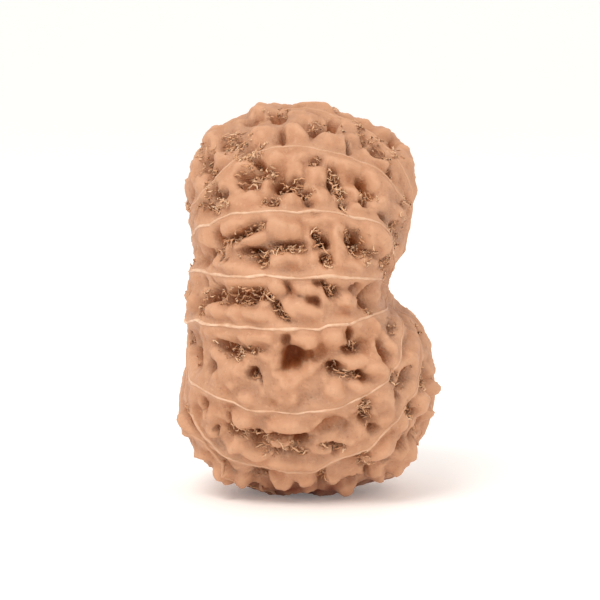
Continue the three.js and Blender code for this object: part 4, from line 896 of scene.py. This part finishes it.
class Finish:
    """A procedural material and short ways to add its nodes."""

    def __init__(self, name, roughness):
        self.material = bpy.data.materials.new(name)
        self.material.use_nodes = True
        self.nodes = self.material.node_tree.nodes
        self.shader = self.nodes["Principled BSDF"]
        self.shader.inputs["Roughness"].default_value = roughness
        self.place = self.nodes.new("ShaderNodeTexCoord").outputs["Object"]

    def link(self, source, target):
        self.material.node_tree.links.new(source, target)

    def attribute(self, name):
        node = self.nodes.new("ShaderNodeAttribute")
        node.attribute_name = name
        return node.outputs["Fac"]

    def noise(self, size_mm, detail=3.0, roughness=0.55):
        node = self.nodes.new("ShaderNodeTexNoise")
        node.inputs["Scale"].default_value = 1 / (size_mm * MM)
        node.inputs["Detail"].default_value = detail
        node.inputs["Roughness"].default_value = roughness
        self.link(self.place, node.inputs["Vector"])
        return node.outputs["Fac"]

    def ramp(self, source, stops):
        node = self.nodes.new("ShaderNodeValToRGB")
        ramp = node.color_ramp
        while len(ramp.elements) < len(stops):
            ramp.elements.new(0.5)
        for element, (position, colour) in zip(ramp.elements, stops):
            element.position = position
            element.color = colour
        self.link(source, node.inputs["Fac"])
        return node.outputs["Color"]

    def spread(self, source, low, high, to_low=0.0, to_high=1.0):
        """Turns a value's range from low to high into one from to_low to to_high."""
        node = self.nodes.new("ShaderNodeMapRange")
        self.link(source, node.inputs["Value"])
        for name, value in zip(("From Min", "From Max", "To Min", "To Max"), (low, high, to_low, to_high)):
            node.inputs[name].default_value = value
        return node.outputs["Result"]

    def height(self):
        """How high a point is over the floor, in millimetres."""
        node = self.nodes.new("ShaderNodeSeparateXYZ")
        self.link(self.place, node.inputs["Vector"])
        return self.product(node.outputs["Z"], 1 / MM)

    def product(self, one, two):
        node = self.nodes.new("ShaderNodeMath")
        node.operation = "MULTIPLY"
        for target, value in zip(node.inputs, (one, two)):
            if isinstance(value, float):
                target.default_value = value
            else:
                self.link(value, target)
        return node.outputs["Value"]

    def mix(self, amount, one, two):
        node = self.nodes.new("ShaderNodeMix")
        node.data_type = "RGBA"
        for socket, value in (("Factor_Float", amount), ("A_Color", one), ("B_Color", two)):
            target = next(s for s in node.inputs if s.identifier == socket)
            if isinstance(value, tuple):
                target.default_value = value
            else:
                self.link(value, target)
        return next(s for s in node.outputs if s.identifier == "Result_Color")

    def bump(self, height, depth_mm, before=None):
        node = self.nodes.new("ShaderNodeBump")
        node.inputs["Distance"].default_value = depth_mm * MM
        self.link(height, node.inputs["Height"])
        if before is not None:
            self.link(before, node.inputs["Normal"])
        return node.outputs["Normal"]


def skin_colour(finish, flat):
    """Tan on the knobs, with painted shade in the hollows and creases, the pits redder brown and darkened
    deeper down by painted shade, dusty on the flats, with painted highlights on the ridges and painted shade
    close to the floor.
    """
    hollow = finish.attribute("hollow")
    pit = finish.attribute("pit")
    crease = finish.attribute("crease")
    # Painted shade: the skin turns darker and browner towards the hollows.
    ground = finish.ramp(finish.spread(hollow, -0.55, 1.05), SKIN_TONES_WITH_PAINTED_SHADE)
    # The pits keep their own redder brown, and painted shade deepens it with depth.
    with_pits = finish.mix(finish.spread(pit, 0.1, 0.65), ground, finish.ramp(pit, PIT_TONES_WITH_PAINTED_SHADE))
    # Painted shade in the narrow creases.
    with_crease_shade = finish.mix(finish.spread(crease, 0.02, 0.30, 0, 0.38), with_pits, PAINTED_CREASE_SHADE)
    # Dust lies in wide patches of fine grains, and not down in the pits.
    patches = finish.spread(finish.noise(3.5, 3.0, 0.6), 0.40, 0.62)
    grains = finish.spread(finish.noise(0.22, 3.0, 0.7), 0.3, 0.6, 0.45, 0.95)
    shallow = finish.spread(pit, 0.2, 0.55, 1.0, 0.1)
    dust = finish.product(finish.product(patches, flat), finish.product(shallow, grains))
    dusted = finish.mix(dust, with_crease_shade, DUST_TONE)
    speckles = finish.spread(finish.noise(0.28, 3.0, 0.7), 0.58, 0.72, 0, 0.45)
    speckled = finish.mix(speckles, dusted, SPECKLE_TONE)
    # Painted highlights along the ridges.
    with_ridge_highlights = finish.mix(finish.spread(crease, -0.05, -0.22, 0, 0.40), speckled, PAINTED_RIDGE_HIGHLIGHT)
    beside_line = finish.spread(finish.attribute("near_line"), 0.45, 1.0, 0, 0.4)
    with_welts = finish.mix(beside_line, with_ridge_highlights, WELT_TONE)
    flecks = finish.spread(finish.noise(0.5, 4.0, 0.7), 0.55, 0.72, 0, 0.40)
    flecked = finish.mix(finish.product(flecks, shallow), with_welts, FLECK_TONE)
    # Painted shade low down near the floor, strongest in the hollows between the feet.
    shade_near_floor = finish.spread(finish.height(), 0.9, 2.0, 1.0, 0.0)
    shade_between_feet = finish.spread(hollow, -0.4, 0.1, 0.25, 1.0)
    return finish.mix(finish.product(shade_near_floor, shade_between_feet), flecked, PAINTED_UNDERSIDE_SHADE)


def skin_finish():
    """Waxy reddish tan, with fine grain that is coarser on the flats than on the knobs."""
    finish = Finish("seed_skin", 0.55)
    flat = finish.spread(finish.attribute("hollow"), -0.25, 0.25, 0.25, 1.0)
    finish.link(skin_colour(finish, flat), finish.shader.inputs["Base Color"])
    gloss = finish.spread(finish.noise(1.2), 0.3, 0.7, 0.46, 0.64)
    finish.link(gloss, finish.shader.inputs["Roughness"])
    coarse = finish.bump(finish.product(finish.noise(0.35, 4.0, 0.7), flat), 0.22)
    fine = finish.bump(finish.noise(0.14), 0.035, coarse)
    finish.link(fine, finish.shader.inputs["Normal"])
    return finish.material


def line_finish():
    """The raised lines are paler than the skin, and worn unevenly."""
    finish = Finish("raised_lines", 0.5)
    worn = finish.spread(finish.noise(0.9), 0.35, 0.68)
    palest = finish.mix(worn, PALE_LINE_TONE, WORN_LINE_TONE)
    colour = finish.mix(finish.attribute("paleness"), DULL_LINE_TONE, palest)
    finish.link(colour, finish.shader.inputs["Base Color"])
    finish.link(finish.bump(finish.noise(0.2), 0.03), finish.shader.inputs["Normal"])
    return finish.material


def fibre_finish():
    """Dry straw-coloured shreds, each in its own tone."""
    finish = Finish("dried_fibres", 0.75)
    finish.link(finish.ramp(finish.attribute("tone"), FIBRE_TONES), finish.shader.inputs["Base Color"])
    return finish.material


def dress(piece, material):
    piece.data.materials.clear()
    piece.data.materials.append(material)
    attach(piece, "root")


# The floor is level under the seed and sweeps up behind it, in metres.
FLOOR_SIZE = 6.0
FLOOR_STRIPS = 120
SWEEP_START = 0.8
SWEEP_RADIUS = 1.0
FLOOR_LOOK = {
    "Base Color": linear(250, 247, 244),
    "Specular IOR Level": 0.2,
    "Emission Color": (1.0, 1.0, 1.0, 1.0),
    "Emission Strength": 0.13,
}


def lay_floor():
    clear_selection()
    bpy.ops.mesh.primitive_grid_add(x_subdivisions=1, y_subdivisions=FLOOR_STRIPS, size=FLOOR_SIZE)
    floor = bpy.context.object
    floor.name = "floor"
    for vertex in floor.data.vertices:
        past = vertex.co.y - SWEEP_START
        if past > 0:
            angle = min(past / SWEEP_RADIUS, math.pi / 2)
            vertex.co.y = SWEEP_START + SWEEP_RADIUS * math.sin(angle)
            vertex.co.z = SWEEP_RADIUS * (1 - math.cos(angle)) + max(past - SWEEP_RADIUS * math.pi / 2, 0)
    bpy.ops.object.shade_smooth()
    finish = Finish("floor", 0.6)
    for name, value in FLOOR_LOOK.items():
        finish.shader.inputs[name].default_value = value
    floor.data.materials.append(finish.material)


# The camera stands where the photograph's did, and the lights are large and soft.
CAMERA_LENS = 146.6
CAMERA_TARGET = Vector((-0.62, 0.0, 16.35)) * MM
CAMERA_PLACE = Vector((-0.65, -207.0, 38.15)) * MM
LIGHTS_TARGET = Vector((0, 0, 17)) * MM

# In metres and watts: [name, place, size, power, colour].
LIGHTS = [
    ["key", (-0.22, -0.35, 0.60), 0.36, 2.4, (1.0, 0.98, 0.95)],
    ["fill", (0.55, -0.35, 0.30), 0.5, 0.5, (1.0, 0.97, 0.94)],
]
SKY_COLOUR = (1.0, 0.985, 0.97, 1.0)
SKY_STRENGTH = 0.88


def aim(thing, place, target):
    thing.location = place
    thing.rotation_euler = (target - place).to_track_quat("-Z", "Y").to_euler()


def set_camera():
    camera = add_object("camera", bpy.data.cameras.new("camera"))
    camera.data.lens = CAMERA_LENS
    camera.data.clip_start = 0.01
    camera.data.clip_end = 20.0
    aim(camera, CAMERA_PLACE, CAMERA_TARGET)
    bpy.context.scene.camera = camera


def add_light(name, place, size, power, colour):
    data = bpy.data.lights.new(name, "AREA")
    data.shape = "DISK"
    data.size = size
    data.energy = power
    data.color = colour
    aim(add_object(name, data), Vector(place), LIGHTS_TARGET)


def light_the_studio():
    world = bpy.data.worlds.new("studio")
    bpy.context.scene.world = world
    world.use_nodes = True
    background = world.node_tree.nodes["Background"]
    background.inputs["Color"].default_value = SKY_COLOUR
    background.inputs["Strength"].default_value = SKY_STRENGTH
    for light in LIGHTS:
        add_light(*light)
    bpy.context.scene.view_settings.view_transform = "Standard"


noise.seed_set(NOISE_SEED)
relief = Relief()
skin = model_skin(relief)
raised = model_raised_lines(relief)
fibres = model_fibres(relief)
dress(skin, skin_finish())
dress(raised, line_finish())
dress(fibres, fibre_finish())
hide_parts("seed")
lay_floor()
set_camera()
light_the_studio()
